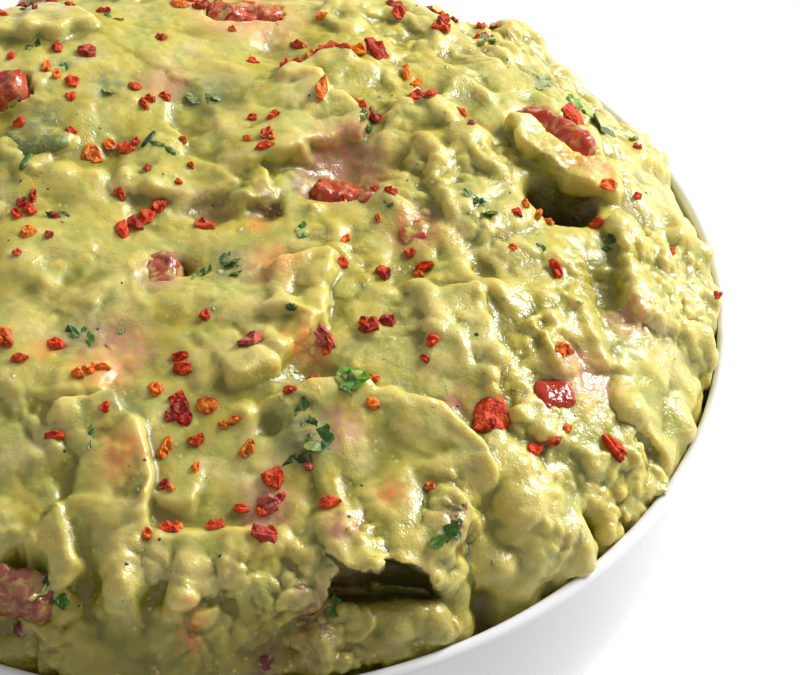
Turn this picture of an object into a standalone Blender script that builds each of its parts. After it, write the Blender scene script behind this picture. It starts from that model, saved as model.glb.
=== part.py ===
"""A white bowl heaped with guacamole.

Nodes: the glazed bowl, the spread dip as one solid, and the larger tomato dice that show
in its surface, each sitting in a pocket cut for it. Metres, +Z up, origin at the middle of
the foot, on the surface that the bowl stands on.
"""

import math

import bmesh
import bpy
import numpy as np
from mathutils import Euler, Matrix, Vector, noise

MM = 0.001

# Bowl
RIM_RADIUS = 75.0 * MM
BOWL_HEIGHT = 67.0 * MM
WALL = 2.1 * MM
FOOT_HEIGHT = 5.0 * MM
FOOT_OUTER = 34.0 * MM
FOOT_INNER = 29.0 * MM
FOOT_RECESS = 2.5 * MM
FLOOR_RADIUS = 36.0 * MM
SIDE_POWER = 2.2
BASE_POWER = 1.82
BOWL_SEGMENTS = 52
WALL_STEPS = 9
LIP_STEPS = 4

# Heap of dip, measured up from the rim
HEAP_RISE = 19.0 * MM
HEAP_POWER = 5.2
HEAP_REACH = 71.5 * MM
RIGHT_BULGE = 0.9 * MM
SHOULDER_PLACE = (-34.0 * MM, 28.0 * MM)
SHOULDER_RADIUS = 28.0 * MM
SHOULDER_RISE = 7.5 * MM
SHOULDER_EDGE = 70.0 * MM
SHOULDER_FADE = 12.0 * MM
HEAP_RADIUS = 72.4 * MM
HEAP_TUCK = 6.0 * MM
HEAP_GRID = 42
GAP = 0.35 * MM
LIP_CLEARANCE = 0.45 * MM
OVERHANG_RADIUS = 74.4 * MM
LUMP_SIZE = 7.5 * MM
LUMP_HEIGHT = 1.5 * MM
LEDGE_DROP = 1.4 * MM

RIM_Z = BOWL_HEIGHT
BODY_TOP = BOWL_HEIGHT - WALL / 2
BODY_DEPTH = BODY_TOP - FOOT_HEIGHT

# Ledges left by the spoon: points along each lip in mm, how far it stands up, and how far
# back it runs before it has sunk into the dip. The raised side is on the left of the way
# that the points go.
LEDGES = [
    ([(1, 4.5), (8, 8.7), (12, 12), (18, 14), (18.8, 17), (16.5, 19.7), (12.5, 25), (14, 29)], 3.0, 14),
    ([(-14, 1), (-9, 0.3), (-4, -0.6), (0, 1.5), (3, 4.5)], 1.8, 8),
    ([(-30, -17), (-26, -15.5), (-18, -20), (-14, -22.8)], 1.5, 6),
    ([(-14, -21.5), (-8, -21.3), (3, -22.3), (14.5, -26.5), (15, -18), (15.5, -12.8), (8, -15)], 1.8, 6),
    ([(3, -36.5), (9.5, -31.5), (15, -25.5)], 1.6, 4),
    ([(34, -50), (34.8, -45), (32, -40.5), (25, -38.6), (19.5, -36), (12.5, -38.7), (7.5, -41.5)], 1.8, 5),
    ([(17.5, -58.5), (22.5, -57.2), (30, -57.5), (32.8, -54.5), (32, -50.5)], 2.0, 5),
    ([(14.5, -60), (10, -58.4), (2, -58), (-3, -58.3), (-7, -58.5)], 1.6, 4),
    ([(-6.5, -58.3), (-7.3, -53), (-9.3, -46), (-12.8, -40), (-17.5, -41), (-20, -43)], 2.2, 7),
    ([(-29, -50), (-25, -48), (-18.5, -44.5)], 1.2, 6),
    ([(-30, -35), (-24, -36), (-18, -37)], 1.2, 5),
    ([(-30, -61), (-24, -61), (-20, -61.3), (-14.8, -59.5)], 1.5, 5),
    ([(43.5, 18), (46, 13.5), (49, 9.5), (53, 7), (57.5, 5.8)], 3.0, 5),
    ([(57.5, 0), (58, -4), (58.5, -14), (59, -17)], 2.5, 5),
    ([(30.3, 13), (32.3, 2), (34, -3), (39.7, -8.2)], 1.6, 5),
    ([(38.3, -36.5), (37.8, -30), (36, -18)], 1.4, 4),
    ([(55.5, -31.5), (59, -31.8), (64.5, -35.5)], 1.5, 5),
    ([(22, 30.5), (17, 31.8), (9.7, 27.5)], 1.2, 6),
    ([(-62, -28), (-52, -31), (-44, -29), (-38, -24), (-37, -17)], 2.2, 9),
    ([(-58, 4), (-50, 0), (-41, 1), (-35, 7), (-34, 14)], 2.4, 10),
    ([(-44, 36), (-36, 31), (-27, 31), (-20, 36)], 2.0, 9),
    ([(-12, 56), (-3, 52), (7, 53), (14, 58)], 1.6, 8),
    ([(-57, -10), (-50, -14), (-42, -12)], 1.6, 6),
]

# Hollows where the paste tore or the spoon dug in: place, radius and depth in mm
HOLLOWS = [
    ((18, 6), 6.5, 2.4),
    ((25.5, 9), 4.5, 1.6),
    ((-4, -13.5), 5.0, 2.0),
    ((8, -2), 4.5, 1.6),
    ((13, -32), 5.0, 1.8),
    ((49.5, 2.5), 5.5, 4.0),
    ((54.5, -11), 5.0, 2.0),
    ((36.5, -50.5), 4.5, 1.6),
    ((23.5, -61.5), 6.0, 2.2),
    ((0, -48), 9.0, 1.2),
    ((22, -47), 9.0, 1.2),
    ((26, 42), 4.5, 1.6),
    ((-46, 20), 5.0, 2.2),
]

# Heaped lumps: place, radius and height in mm
MOUNDS = [
    ((43, -51), 7.0, 2.4),
    ((-9.5, -62), 4.0, 2.8),
    ((43, 50), 6.0, 4.0),
    ((69, 4), 5.5, 2.0),
    ((-23, 2.5), 4.0, 1.0),
    ((-52, -42), 8.0, 2.2),
    ((-60, 20), 8.0, 1.8),
]

# Tomato dice: place in mm, how deep the middle sits under the skin, sides in mm and turn in degrees
TOMATO_DICE = {
    "tomato_a": ((49.0, 19.0), 2.0, (14.0, 6.5, 6.0), (14, -8, -43)),
    "tomato_b": ((17.5, 3.0), 2.0, (9.5, 6.5, 6.0), (-10, 8, -14)),
    "tomato_c": ((-7.0, -14.5), 1.9, (5.5, 9.0, 5.5), (6, -12, 4)),
    "tomato_d": ((46.7, -33.0), 1.8, (6.2, 6.2, 5.5), (6, 12, 20)),
    "tomato_e": ((-32.5, 18.0), 1.8, (9.0, 6.5, 6.0), (-8, -10, 10)),
    "tomato_f": ((-23.0, -62.0), 1.4, (9.5, 6.5, 7.5), (20, 4, -20)),
    "tomato_g": ((2.0, 44.0), 1.9, (12.0, 6.0, 5.5), (-10, 4, 3)),
    "tomato_h": ((-53.0, 6.0), 2.0, (8.5, 7.0, 6.0), (6, -14, 30)),
    "tomato_i": ((28.5, -6.5), 1.9, (6.0, 5.5, 5.0), (4, 6, 10)),
}
DIE_ROUNDING = 1.3 * MM

WHITE_GLAZE = ((0.83, 0.83, 0.84), 0.12)
AVOCADO_GREEN = ((0.42, 0.38, 0.09), 0.45)
TOMATO_RED = ((0.50, 0.06, 0.02), 0.25)


def clear_scene():
    for obj in list(bpy.data.objects):
        bpy.data.objects.remove(obj)


def new_collection(name):
    made = bpy.data.collections.new(name)
    bpy.context.scene.collection.children.link(made)
    return made


def material(name, look):
    colour, roughness = look
    made = bpy.data.materials.new(name)
    made.use_nodes = True
    shader = made.node_tree.nodes["Principled BSDF"]
    shader.inputs["Base Color"].default_value = (*colour, 1)
    shader.inputs["Roughness"].default_value = roughness
    shader.inputs["Metallic"].default_value = 0
    return made


def move_to(obj, collection):
    for old in list(obj.users_collection):
        old.objects.unlink(obj)
    collection.objects.link(obj)


def active_object(name, look, collection):
    """Names what an operator has just added, gives it its material and files it."""
    obj = bpy.context.object
    obj.name = name
    obj.data.name = name
    obj.data.materials.append(look)
    move_to(obj, collection)
    return obj


def smooth(obj, angle_deg):
    obj.data.shade_smooth()
    obj.data.set_sharp_from_angle(angle=math.radians(angle_deg))


# The bowl: one turned profile


def side_curve(inset):
    """The bowl's outer side from the lip down to the floor, moved in by inset along its normal."""
    angles = np.linspace(0, math.pi / 2, WALL_STEPS + 1)
    reach = RIM_RADIUS - FLOOR_RADIUS
    radius = FLOOR_RADIUS + reach * np.cos(angles) ** (2 / BASE_POWER)
    depth = BODY_DEPTH * np.sin(angles) ** (2 / SIDE_POWER)
    fall = np.gradient(radius, depth)
    fall[0] = 0
    fall[-1] = -1e6
    length = np.hypot(1, fall)
    return [
        (r - inset / n, BODY_TOP - d - inset * f / n)
        for r, d, f, n in zip(radius, depth, fall, length)
    ]


def bowl_profile(extra=0.0):
    """Half section from the middle of the inner floor, over the lip and down to the axis under the foot."""
    inner = side_curve(WALL + extra)
    outer = side_curve(-extra)
    lip_radius = WALL / 2 + extra
    lip = []
    for step in range(1, LIP_STEPS):
        turn = math.pi * (1 - step / LIP_STEPS)
        lip.append(
            (RIM_RADIUS - WALL / 2 + lip_radius * math.cos(turn), BODY_TOP + lip_radius * math.sin(turn))
        )
    foot = [
        (FOOT_OUTER, 0.0),
        (FOOT_INNER, 0.0),
        (FOOT_INNER, FOOT_RECESS),
        (0.0, FOOT_RECESS),
    ]
    return [(0.0, inner[-1][1])] + inner[::-1] + lip + outer + foot


def turned(name, profile, segments, look, collection):
    mesh = bpy.data.meshes.new(name)
    edges = [(i, i + 1) for i in range(len(profile) - 1)]
    mesh.from_pydata([(r, 0, z) for r, z in profile], edges, [])
    obj = bpy.data.objects.new(name, mesh)
    mesh.materials.append(look)
    collection.objects.link(obj)
    screw = obj.modifiers.new("turn", "SCREW")
    screw.steps = segments
    screw.render_steps = segments
    screw.use_merge_vertices = True
    screw.merge_threshold = 0.00001
    screw.use_smooth_shade = True
    return obj


def inner_radius(z):
    """Radius of the bowl's inside at height z."""
    curve = side_curve(WALL)[::-1]
    heights = [point[1] for point in curve]
    radii = [point[0] for point in curve]
    return np.interp(z, heights, radii)


# The heap's plain form: a flat-topped dome, a little wider on the right and higher at the back left


def smoothstep(low, high, value):
    share = np.clip((value - low) / (high - low), 0, 1)
    return share * share * (3 - 2 * share)


def dome(x, y):
    """Height of the smooth heap above the rim."""
    out = np.hypot(x, y)
    reach = HEAP_REACH + RIGHT_BULGE * np.cos(np.arctan2(y, x))
    away = np.hypot(x - SHOULDER_PLACE[0], y - SHOULDER_PLACE[1]) / SHOULDER_RADIUS
    shoulder = SHOULDER_RISE * np.exp(-(away**2)) * np.clip((SHOULDER_EDGE - out) / SHOULDER_FADE, 0, 1)
    return HEAP_RISE * (1 - (out / reach) ** HEAP_POWER) + shoulder


def round_grid(u, v):
    """Lays a square grid of -1 to 1 over a disc of radius 1 with cells of equal area."""
    wide = np.abs(u) >= np.abs(v)
    long_side = np.where(wide, u, v)
    short_side = np.where(wide, v, u)
    ratio = short_side / np.where(long_side == 0, 1, long_side)
    turn = np.where(wide, ratio * math.pi / 4, math.pi / 2 - ratio * math.pi / 4)
    return long_side * np.cos(turn), long_side * np.sin(turn)


def curve_through(points, steps=6):
    """A smooth line through a ledge's points, in metres."""
    ends = [points[0], *points, points[-1]]
    line = []
    for a, b, c, d in zip(ends, ends[1:], ends[2:], ends[3:]):
        a, b, c, d = (np.array(p, float) for p in (a, b, c, d))
        for t in np.arange(steps) / steps:
            bend = (2 * a - 5 * b + 4 * c - d) * t**2 + (3 * b - a - 3 * c + d) * t**3
            line.append(0.5 * (2 * b + (c - a) * t + bend))
    line.append(np.array(points[-1], float))
    return np.array(line) * MM


def distance_to(line, x, y):
    """(signed distance, share of the way along, normal) from each place to a line, positive on its left."""
    best = np.full(x.shape, 1e9)
    side = np.zeros(x.shape)
    along = np.zeros(x.shape)
    normal = np.zeros((*x.shape, 2))
    for i, (start, end) in enumerate(zip(line[:-1], line[1:])):
        step = end - start
        share = np.clip(((x - start[0]) * step[0] + (y - start[1]) * step[1]) / (step @ step), 0, 1)
        across_x = x - start[0] - share * step[0]
        across_y = y - start[1] - share * step[1]
        distance = np.hypot(across_x, across_y)
        nearer = distance < best
        best = np.where(nearer, distance, best)
        side = np.where(nearer, np.sign(step[0] * across_y - step[1] * across_x), side)
        along = np.where(nearer, (i + share) / (len(line) - 1), along)
        left = np.array([-step[1], step[0]]) / np.hypot(*step)
        normal[nearer] = left
    return best * side, along, normal


def relief(x, y):
    """(height, sideways lean) that the spoon's ledges, the hollows and the mounds add."""
    height = np.zeros(x.shape)
    lean = np.zeros((*x.shape, 2))
    for points, rise, run in LEDGES:
        distance, along, normal = distance_to(curve_through(points), x, y)
        ends = smoothstep(0, 0.14, along) * smoothstep(1, 0.86, along)
        behind = np.exp(-np.maximum(distance, 0) / (run * MM))
        front = np.exp(-((np.minimum(distance, 0) / LEDGE_DROP) ** 2))
        share = ends * behind * front
        height += rise * MM * share
        lean -= normal * (0.35 * rise * MM * share * front)[..., None]
    for (px, py), radius, depth in HOLLOWS:
        away = np.hypot(x - px * MM, y - py * MM) / (radius * MM)
        height -= depth * MM * np.exp(-(away**2) * 1.4)
    for (px, py), radius, rise in MOUNDS:
        away = np.hypot(x - px * MM, y - py * MM) / (radius * MM)
        height += rise * MM * np.exp(-(away**2) * 1.4)
    return height, lean


def heap_points(u, v):
    """Places of the heap's skin for a square grid of u and v."""
    disc_x, disc_y = round_grid(u, v)
    out = np.hypot(disc_x, disc_y)
    pull = (out - 0.5 * out**6 / 6) / (1 - 0.5 / 6)
    scale = HEAP_RADIUS * pull / np.where(out == 0, 1, out)
    x, y = disc_x * scale, disc_y * scale
    tuck = smoothstep(0.955, 1.0, out)
    z = dome(x, y) * (1 - tuck) - HEAP_TUCK * tuck

    step = 0.2 * MM
    slope_x = (dome(x + step, y) - dome(x - step, y)) / (2 * step)
    slope_y = (dome(x, y + step) - dome(x, y - step)) / (2 * step)
    normal = np.stack([-slope_x, -slope_y, np.ones_like(x)], axis=-1)
    normal /= np.linalg.norm(normal, axis=-1, keepdims=True)

    height, lean = relief(x, y)
    lumpy = 0.25 + 0.75 * smoothstep(48 * MM, 66 * MM, np.hypot(x, y) + 0.25 * np.maximum(x, 0))
    lumps = np.array(
        [noise.noise(Vector(p) / LUMP_SIZE) for p in np.stack([x, y, z], axis=-1).reshape(-1, 3)]
    ).reshape(x.shape)
    height += LUMP_HEIGHT * lumpy * lumps
    keep = (1 - tuck)[..., None]
    points = np.stack([x, y, z], axis=-1) + normal * (height[..., None] * keep)
    points[..., :2] += lean * keep
    return points


def keep_inside(points):
    """Holds the skin inside the bowl up to the lip, and on the lip above it."""
    radius = np.hypot(points[:, 0], points[:, 1])
    most = np.where(
        points[:, 2] < LIP_CLEARANCE,
        inner_radius(points[:, 2] + RIM_Z) - GAP,
        OVERHANG_RADIUS,
    )
    shrink = np.minimum(1, most / np.maximum(radius, 1e-9))
    points[:, :2] *= shrink[:, None]
    return points


def heap_mesh(obj):
    count = len(obj.data.vertices)
    flat = np.empty(count * 3)
    obj.data.vertices.foreach_get("co", flat)
    flat = flat.reshape(-1, 3)
    points = keep_inside(heap_points(flat[:, 0], flat[:, 1]))
    points[:, 2] += RIM_Z
    obj.data.vertices.foreach_set("co", points.ravel())


def close_underside(obj):
    """Carries the skin's edge down the inside of the bowl in rings and closes it with a flat floor."""
    floor = FOOT_HEIGHT + WALL + GAP
    bottom_z = RIM_Z - HEAP_TUCK
    levels = [bottom_z - share * (bottom_z - floor) for share in (0.3, 0.6, 0.84, 1.0)]
    mesh = bmesh.new()
    mesh.from_mesh(obj.data)
    ring = [edge for edge in mesh.edges if edge.is_boundary]
    for level in levels:
        grown = bmesh.ops.extrude_edge_only(mesh, edges=ring)["geom"]
        ring = [item for item in grown if isinstance(item, bmesh.types.BMEdge)]
        radius = float(inner_radius(level)) - GAP
        if level == floor:
            radius = FLOOR_RADIUS + 4 * MM
        for vertex in {vertex for edge in ring for vertex in edge.verts}:
            direction = Vector((vertex.co.x, vertex.co.y)).normalized()
            vertex.co = (direction.x * radius, direction.y * radius, level)
    bmesh.ops.contextual_create(mesh, geom=ring)
    bmesh.ops.recalc_face_normals(mesh, faces=mesh.faces)
    mesh.to_mesh(obj.data)
    mesh.free()


def subtract(obj, cutter):
    cut = obj.modifiers.new("pocket for " + cutter.name, "BOOLEAN")
    cut.operation = "DIFFERENCE"
    cut.solver = "EXACT"
    cut.object = cutter


def make_cutter(obj):
    obj.hide_render = True
    obj.display_type = "WIRE"
    return obj


def make_heap(look, parts):
    bpy.ops.mesh.primitive_grid_add(x_subdivisions=HEAP_GRID, y_subdivisions=HEAP_GRID, size=2)
    obj = active_object("guacamole", look, parts)
    heap_mesh(obj)
    close_underside(obj)
    smooth(obj, 50)
    return obj


# Tomato: rounded dice, sunk so that one face or corner shows


def skin_height(x, y):
    """Height of the finished skin over one place, without its lumps."""
    height, _ = relief(np.array([x]), np.array([y]))
    return float(dome(np.array([x]), np.array([y]))[0] + height[0]) + RIM_Z


def make_die(name, sides, grow, look, collection):
    bpy.ops.mesh.primitive_cube_add(size=1)
    obj = active_object(name, look, collection)
    for vertex in obj.data.vertices:
        taper = 0.82 if vertex.co.x > 0 else 1.0
        vertex.co.x *= sides[0] * MM + 2 * grow
        vertex.co.y *= taper * sides[1] * MM + 2 * grow
        vertex.co.z *= sides[2] * MM + 2 * grow
    bevel = obj.modifiers.new("cut edges", "BEVEL")
    bevel.width = DIE_ROUNDING
    bevel.segments = 2
    return obj


def place_die(obj, spot, sink, turn):
    x, y = spot[0] * MM, spot[1] * MM
    obj.location = (x, y, skin_height(x, y) - sink * MM)
    obj.rotation_euler = Euler([math.radians(angle) for angle in turn])


def main():
    clear_scene()
    parts = new_collection("guacamole_bowl")
    cutters = new_collection("cutters")
    glaze = material("white_glaze", WHITE_GLAZE)
    green = material("avocado", AVOCADO_GREEN)
    red = material("tomato", TOMATO_RED)

    turned("bowl", bowl_profile(), BOWL_SEGMENTS, glaze, parts)
    heap = make_heap(green, parts)
    for name, (spot, sink, sides, turn) in TOMATO_DICE.items():
        die = make_die(name, sides, 0.0, red, parts)
        place_die(die, spot, sink, turn)
        smooth(die, 40)
        pocket = make_cutter(make_die("pocket_" + name, sides, GAP, green, cutters))
        place_die(pocket, spot, sink, turn)
        subtract(heap, pocket)


main()
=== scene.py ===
# %% [markdown]
# # Guacamole in its bowl
#
# A white footed bowl stands heaped with coarse guacamole. The spoon has left broad smears
# with torn lips, and between them the mash is lumpy and wet. Tomato dice, green chilli,
# coriander and crushed red chilli are mixed in and scattered on top.
#
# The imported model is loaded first. It is the fixed frame: the bowl, the heap and the dice
# stay where it has them, and every piece made here takes its place from it.

import math
import random

import bpy
import numpy as np
from mathutils import Euler, Matrix, Vector
from mathutils.bvhtree import BVHTree


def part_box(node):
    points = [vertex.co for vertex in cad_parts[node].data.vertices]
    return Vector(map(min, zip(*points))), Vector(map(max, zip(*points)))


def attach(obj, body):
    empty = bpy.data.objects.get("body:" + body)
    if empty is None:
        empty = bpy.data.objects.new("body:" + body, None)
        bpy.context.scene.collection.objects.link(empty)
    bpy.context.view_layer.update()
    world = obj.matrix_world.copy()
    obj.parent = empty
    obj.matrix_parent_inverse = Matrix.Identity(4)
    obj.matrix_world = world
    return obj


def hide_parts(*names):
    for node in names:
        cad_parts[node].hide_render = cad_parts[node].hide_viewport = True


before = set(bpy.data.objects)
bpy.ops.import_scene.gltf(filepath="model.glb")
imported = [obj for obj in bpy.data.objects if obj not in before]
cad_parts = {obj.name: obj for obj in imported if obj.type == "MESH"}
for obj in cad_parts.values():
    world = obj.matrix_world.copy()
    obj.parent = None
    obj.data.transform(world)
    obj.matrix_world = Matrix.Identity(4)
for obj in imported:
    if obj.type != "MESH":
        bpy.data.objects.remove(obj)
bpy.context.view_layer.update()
MM = 0.001

bowl_low, bowl_high = (Vector(corner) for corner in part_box("bowl"))
RIM_Z = bowl_high.z
RIM_RADIUS = bowl_high.x
print("bowl", round(RIM_RADIUS * 2 / MM, 1), "mm wide and", round(RIM_Z / MM, 1), "mm high")

# %% [markdown]
# ## Small tools
#
# Operators act on whatever is selected, and the frame arrives selected, so each piece
# starts by clearing the selection. These helpers name a new primitive, apply its
# modifiers, and hand it over to the frame at the end.

# %% Tools for every piece


def select_only(*pieces):
    if bpy.context.object and bpy.context.object.mode != "OBJECT":
        bpy.ops.object.mode_set(mode="OBJECT")
    bpy.ops.object.select_all(action="DESELECT")
    for piece in pieces:
        piece.select_set(True)
    if pieces:
        bpy.context.view_layer.objects.active = pieces[0]


def named(name):
    """Names what an operator has just added."""
    piece = bpy.context.object
    piece.name = name
    piece.data.name = name
    return piece


def apply_all(piece):
    select_only(piece)
    for modifier in list(piece.modifiers):
        bpy.ops.object.modifier_apply(modifier=modifier.name)


def place_in_mesh(piece):
    """Moves an object's place, turn and size into its mesh."""
    select_only(piece)
    bpy.ops.object.transform_apply(location=True, rotation=True, scale=True)


def shade_smooth(piece):
    select_only(piece)
    bpy.ops.object.shade_smooth()


def get_points(piece):
    flat = np.empty(len(piece.data.vertices) * 3)
    piece.data.vertices.foreach_get("co", flat)
    return flat.reshape(-1, 3)


def set_points(piece, points):
    piece.data.vertices.foreach_set("co", np.ascontiguousarray(points).ravel())
    piece.data.update()


def get_normals(piece):
    flat = np.empty(len(piece.data.vertices) * 3)
    piece.data.vertices.foreach_get("normal", flat)
    return flat.reshape(-1, 3)


def add_share(piece, name, values):
    """Keeps one number for each point as an attribute, for a material to read."""
    attribute = piece.data.attributes.new(name, "FLOAT", "POINT")
    attribute.data.foreach_set("value", np.ascontiguousarray(values, dtype=np.float32))


def even_out(piece, face_size):
    """Adds a remesh that gives a piece faces of one size."""
    even = piece.modifiers.new("even faces", "REMESH")
    even.mode = "VOXEL"
    even.voxel_size = face_size


def add_clouds(piece, name, size, depth):
    """Adds a displacement by a cloud pattern."""
    pattern = bpy.data.textures.new(name, "CLOUDS")
    pattern.noise_scale = size
    clouds = piece.modifiers.new(name, "DISPLACE")
    clouds.texture = pattern
    clouds.texture_coords = "LOCAL"
    clouds.strength = depth
    return pattern


def wear(piece, material):
    piece.data.materials.clear()
    piece.data.materials.append(material)


def hand_over(piece, *nodes):
    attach(piece, "root")
    if nodes:
        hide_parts(*nodes)
    faces = sum(len(face.vertices) - 2 for face in piece.data.polygons)
    print(piece.name, faces, "triangles")


# %% [markdown]
# ## A short way to write materials
#
# Every finish is a Principled shader fed by a few pattern nodes. `Finish` keeps the node
# tree readable: each call adds one node and returns its output, so a pattern reads like a
# sum. A plain number or colour goes on the shader's own socket, and a pattern is linked.
# Patterns use Object coordinates, because each piece's mesh lies at its real place.

# %% Material builder


class Finish:
    def __init__(self, name):
        self.material = bpy.data.materials.new(name)
        self.material.use_nodes = True
        self.tree = self.material.node_tree
        self.shader = self.tree.nodes["Principled BSDF"]
        self.place = self.node("ShaderNodeTexCoord").outputs["Object"]

    def node(self, kind, **settings):
        made = self.tree.nodes.new(kind)
        for name, value in settings.items():
            setattr(made, name, value)
        return made

    def feed(self, socket, value):
        if isinstance(value, bpy.types.NodeSocket):
            self.tree.links.new(value, socket)
        else:
            socket.default_value = value

    def set(self, **inputs):
        for name, value in inputs.items():
            self.feed(self.shader.inputs[name.replace("_", " ")], value)

    def lets_light_in(self, weight, colour, depth):
        """Subsurface light: how much, which colours go deepest, and how deep."""
        self.set(Subsurface_Weight=weight, Subsurface_Radius=colour, Subsurface_Scale=depth)

    def stretch(self, scale, turn=(0, 0, 0)):
        node = self.node("ShaderNodeMapping")
        self.feed(node.inputs["Vector"], self.place)
        node.inputs["Scale"].default_value = scale
        node.inputs["Rotation"].default_value = [math.radians(angle) for angle in turn]
        return node.outputs["Vector"]

    def noise(self, size, detail=3.0, roughness=0.5, place=None, warp=0.0):
        node = self.node("ShaderNodeTexNoise")
        self.feed(node.inputs["Vector"], place or self.place)
        node.inputs["Scale"].default_value = 1 / size
        node.inputs["Detail"].default_value = detail
        node.inputs["Roughness"].default_value = roughness
        node.inputs["Distortion"].default_value = warp
        return node.outputs["Fac"]

    def cells(self, size, feature="SMOOTH_F1", place=None):
        node = self.node("ShaderNodeTexVoronoi", feature=feature)
        self.feed(node.inputs["Vector"], place or self.place)
        node.inputs["Scale"].default_value = 1 / size
        return node.outputs["Distance"]

    def ramp(self, value, *stops):
        node = self.node("ShaderNodeValToRGB")
        self.feed(node.inputs["Fac"], value)
        stops_made = node.color_ramp.elements
        while len(stops_made) < len(stops):
            stops_made.new(0.5)
        for made, (place, colour) in zip(stops_made, stops):
            made.position = place
            made.color = (colour, colour, colour, 1) if isinstance(colour, float) else (*colour, 1)
        return node.outputs["Color"]

    def mix(self, share, first, second, blend="MIX"):
        node = self.node("ShaderNodeMix", data_type="RGBA", blend_type=blend)
        self.feed(node.inputs[0], share)
        for socket, value in ((node.inputs[6], first), (node.inputs[7], second)):
            self.feed(socket, (*value, 1) if isinstance(value, tuple) else value)
        return node.outputs[2]

    def math(self, operation, *values):
        node = self.node("ShaderNodeMath", operation=operation)
        for socket, value in zip(node.inputs, values):
            self.feed(socket, value)
        return node.outputs["Value"]

    def attribute(self, name, output="Fac"):
        return self.node("ShaderNodeAttribute", attribute_name=name).outputs[output]

    def bump(self, height, depth, strength=1.0, under=None):
        node = self.node("ShaderNodeBump")
        self.feed(node.inputs["Height"], height)
        node.inputs["Distance"].default_value = depth
        node.inputs["Strength"].default_value = strength
        if under is not None:
            self.feed(node.inputs["Normal"], under)
        return node.outputs["Normal"]


# %% [markdown]
# ## The bowl
#
# The real bowl is slip-cast or turned porcelain: one thin wall with a rounded lip, a
# curved side and a trimmed foot ring. Anything turned can be drawn as half a section and
# spun. Here the rings are pulled out of one circle instead, each extruded from the last
# and scaled to its radius, which is how a hand would do it and keeps every ring named by
# a formula. The side is a superellipse between the lip and the floor, as in the frame.

# %% Bowl sizes
WALL = 2.1 * MM
FOOT_HEIGHT = 5.0 * MM
FOOT_OUTER = 34.0 * MM
FOOT_INNER = 29.0 * MM
FOOT_RECESS = 2.5 * MM
FOOT_ROUNDING = 0.7 * MM
FLOOR_RADIUS = 36.0 * MM
SIDE_POWER = 2.2
BASE_POWER = 1.82
BODY_TOP = RIM_Z - WALL / 2
BODY_DEPTH = BODY_TOP - FOOT_HEIGHT
BOWL_SEGMENTS = 180


def side_curve(inset, steps):
    """(radius, height) down the outer side from lip to floor, moved in by inset."""
    angles = np.linspace(0, math.pi / 2, steps + 1)
    radius = FLOOR_RADIUS + (RIM_RADIUS - FLOOR_RADIUS) * np.cos(angles) ** (2 / BASE_POWER)
    depth = BODY_DEPTH * np.sin(angles) ** (2 / SIDE_POWER)
    fall = np.gradient(radius, depth)
    fall[0] = 0
    fall[-1] = -1e6
    length = np.hypot(1, fall)
    return list(zip(radius - inset / length, BODY_TOP - depth - inset * fall / length))


INNER_CURVE = side_curve(WALL, 60)


def inner_radius(height):
    """Radius of the bowl's inside at a height."""
    return np.interp(height, [p[1] for p in INNER_CURVE[::-1]], [p[0] for p in INNER_CURVE[::-1]])


print("inside of the lip", round(float(inner_radius(BODY_TOP)) / MM, 2), "mm")

# %% Pull the bowl out of one circle


def arc(centre_radius, centre_z, size, start_deg, end_deg, steps):
    turns = [math.radians(start_deg + (end_deg - start_deg) * i / steps) for i in range(steps + 1)]
    return [(centre_radius + size * math.cos(t), centre_z + size * math.sin(t)) for t in turns]


def bowl_rings():
    inner = side_curve(WALL, 26)[::-1]
    lip = arc(RIM_RADIUS - WALL / 2, BODY_TOP, WALL / 2, 180, 0, 10)[1:-1]
    outer = side_curve(0, 30)
    foot = [(FOOT_OUTER + 0.8 * MM, FOOT_HEIGHT - 0.25 * MM)]
    foot += [(FOOT_OUTER + 0.1 * MM, FOOT_HEIGHT - 0.9 * MM)]
    foot += arc(FOOT_OUTER - FOOT_ROUNDING, FOOT_ROUNDING, FOOT_ROUNDING, 0, -90, 4)
    foot += arc(FOOT_INNER + FOOT_ROUNDING, FOOT_ROUNDING, FOOT_ROUNDING, -90, -180, 4)
    foot += [(FOOT_INNER - 0.2 * MM, FOOT_RECESS - 0.3 * MM), (FOOT_INNER - 0.8 * MM, FOOT_RECESS)]
    return inner + lip + outer[:-1] + foot + [(FOOT_INNER * 0.5, FOOT_RECESS), (2 * MM, FOOT_RECESS)]


def pull_ring(from_ring, to_ring):
    bpy.ops.mesh.extrude_edges_move()
    share = to_ring[0] / from_ring[0]
    bpy.ops.transform.resize(value=(share, share, 1), center_override=(0, 0, from_ring[1]))
    bpy.ops.transform.translate(value=(0, 0, to_ring[1] - from_ring[1]))


def make_bowl():
    rings = bowl_rings()
    first = (2 * MM, rings[0][1])
    select_only()
    bpy.ops.mesh.primitive_circle_add(
        vertices=BOWL_SEGMENTS, radius=first[0], fill_type="NGON", location=(0, 0, first[1])
    )
    bowl = named("porcelain_bowl")
    place_in_mesh(bowl)
    bpy.ops.object.mode_set(mode="EDIT")
    bpy.ops.mesh.select_mode(type="EDGE")
    bpy.ops.mesh.select_all(action="DESELECT")
    bpy.ops.mesh.select_non_manifold()
    for last, ring in zip([first] + rings, rings):
        pull_ring(last, ring)
    bpy.ops.mesh.edge_face_add()
    bpy.ops.mesh.select_all(action="SELECT")
    bpy.ops.mesh.normals_make_consistent(inside=False)
    bpy.ops.object.mode_set(mode="OBJECT")
    shade_smooth(bowl)
    return bowl


bowl = make_bowl()
print("bowl rings", len(bowl_rings()), "each of", BOWL_SEGMENTS)

# %% [markdown]
# ### Glaze
#
# Porcelain glaze is a clear glassy coat over a slightly translucent white body. The coat
# carries the gloss. A very shallow, broad waviness is left by the glaze's own flow, and
# the white is not quite even, a touch cooler where the glaze pools.

# %% Glaze


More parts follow.
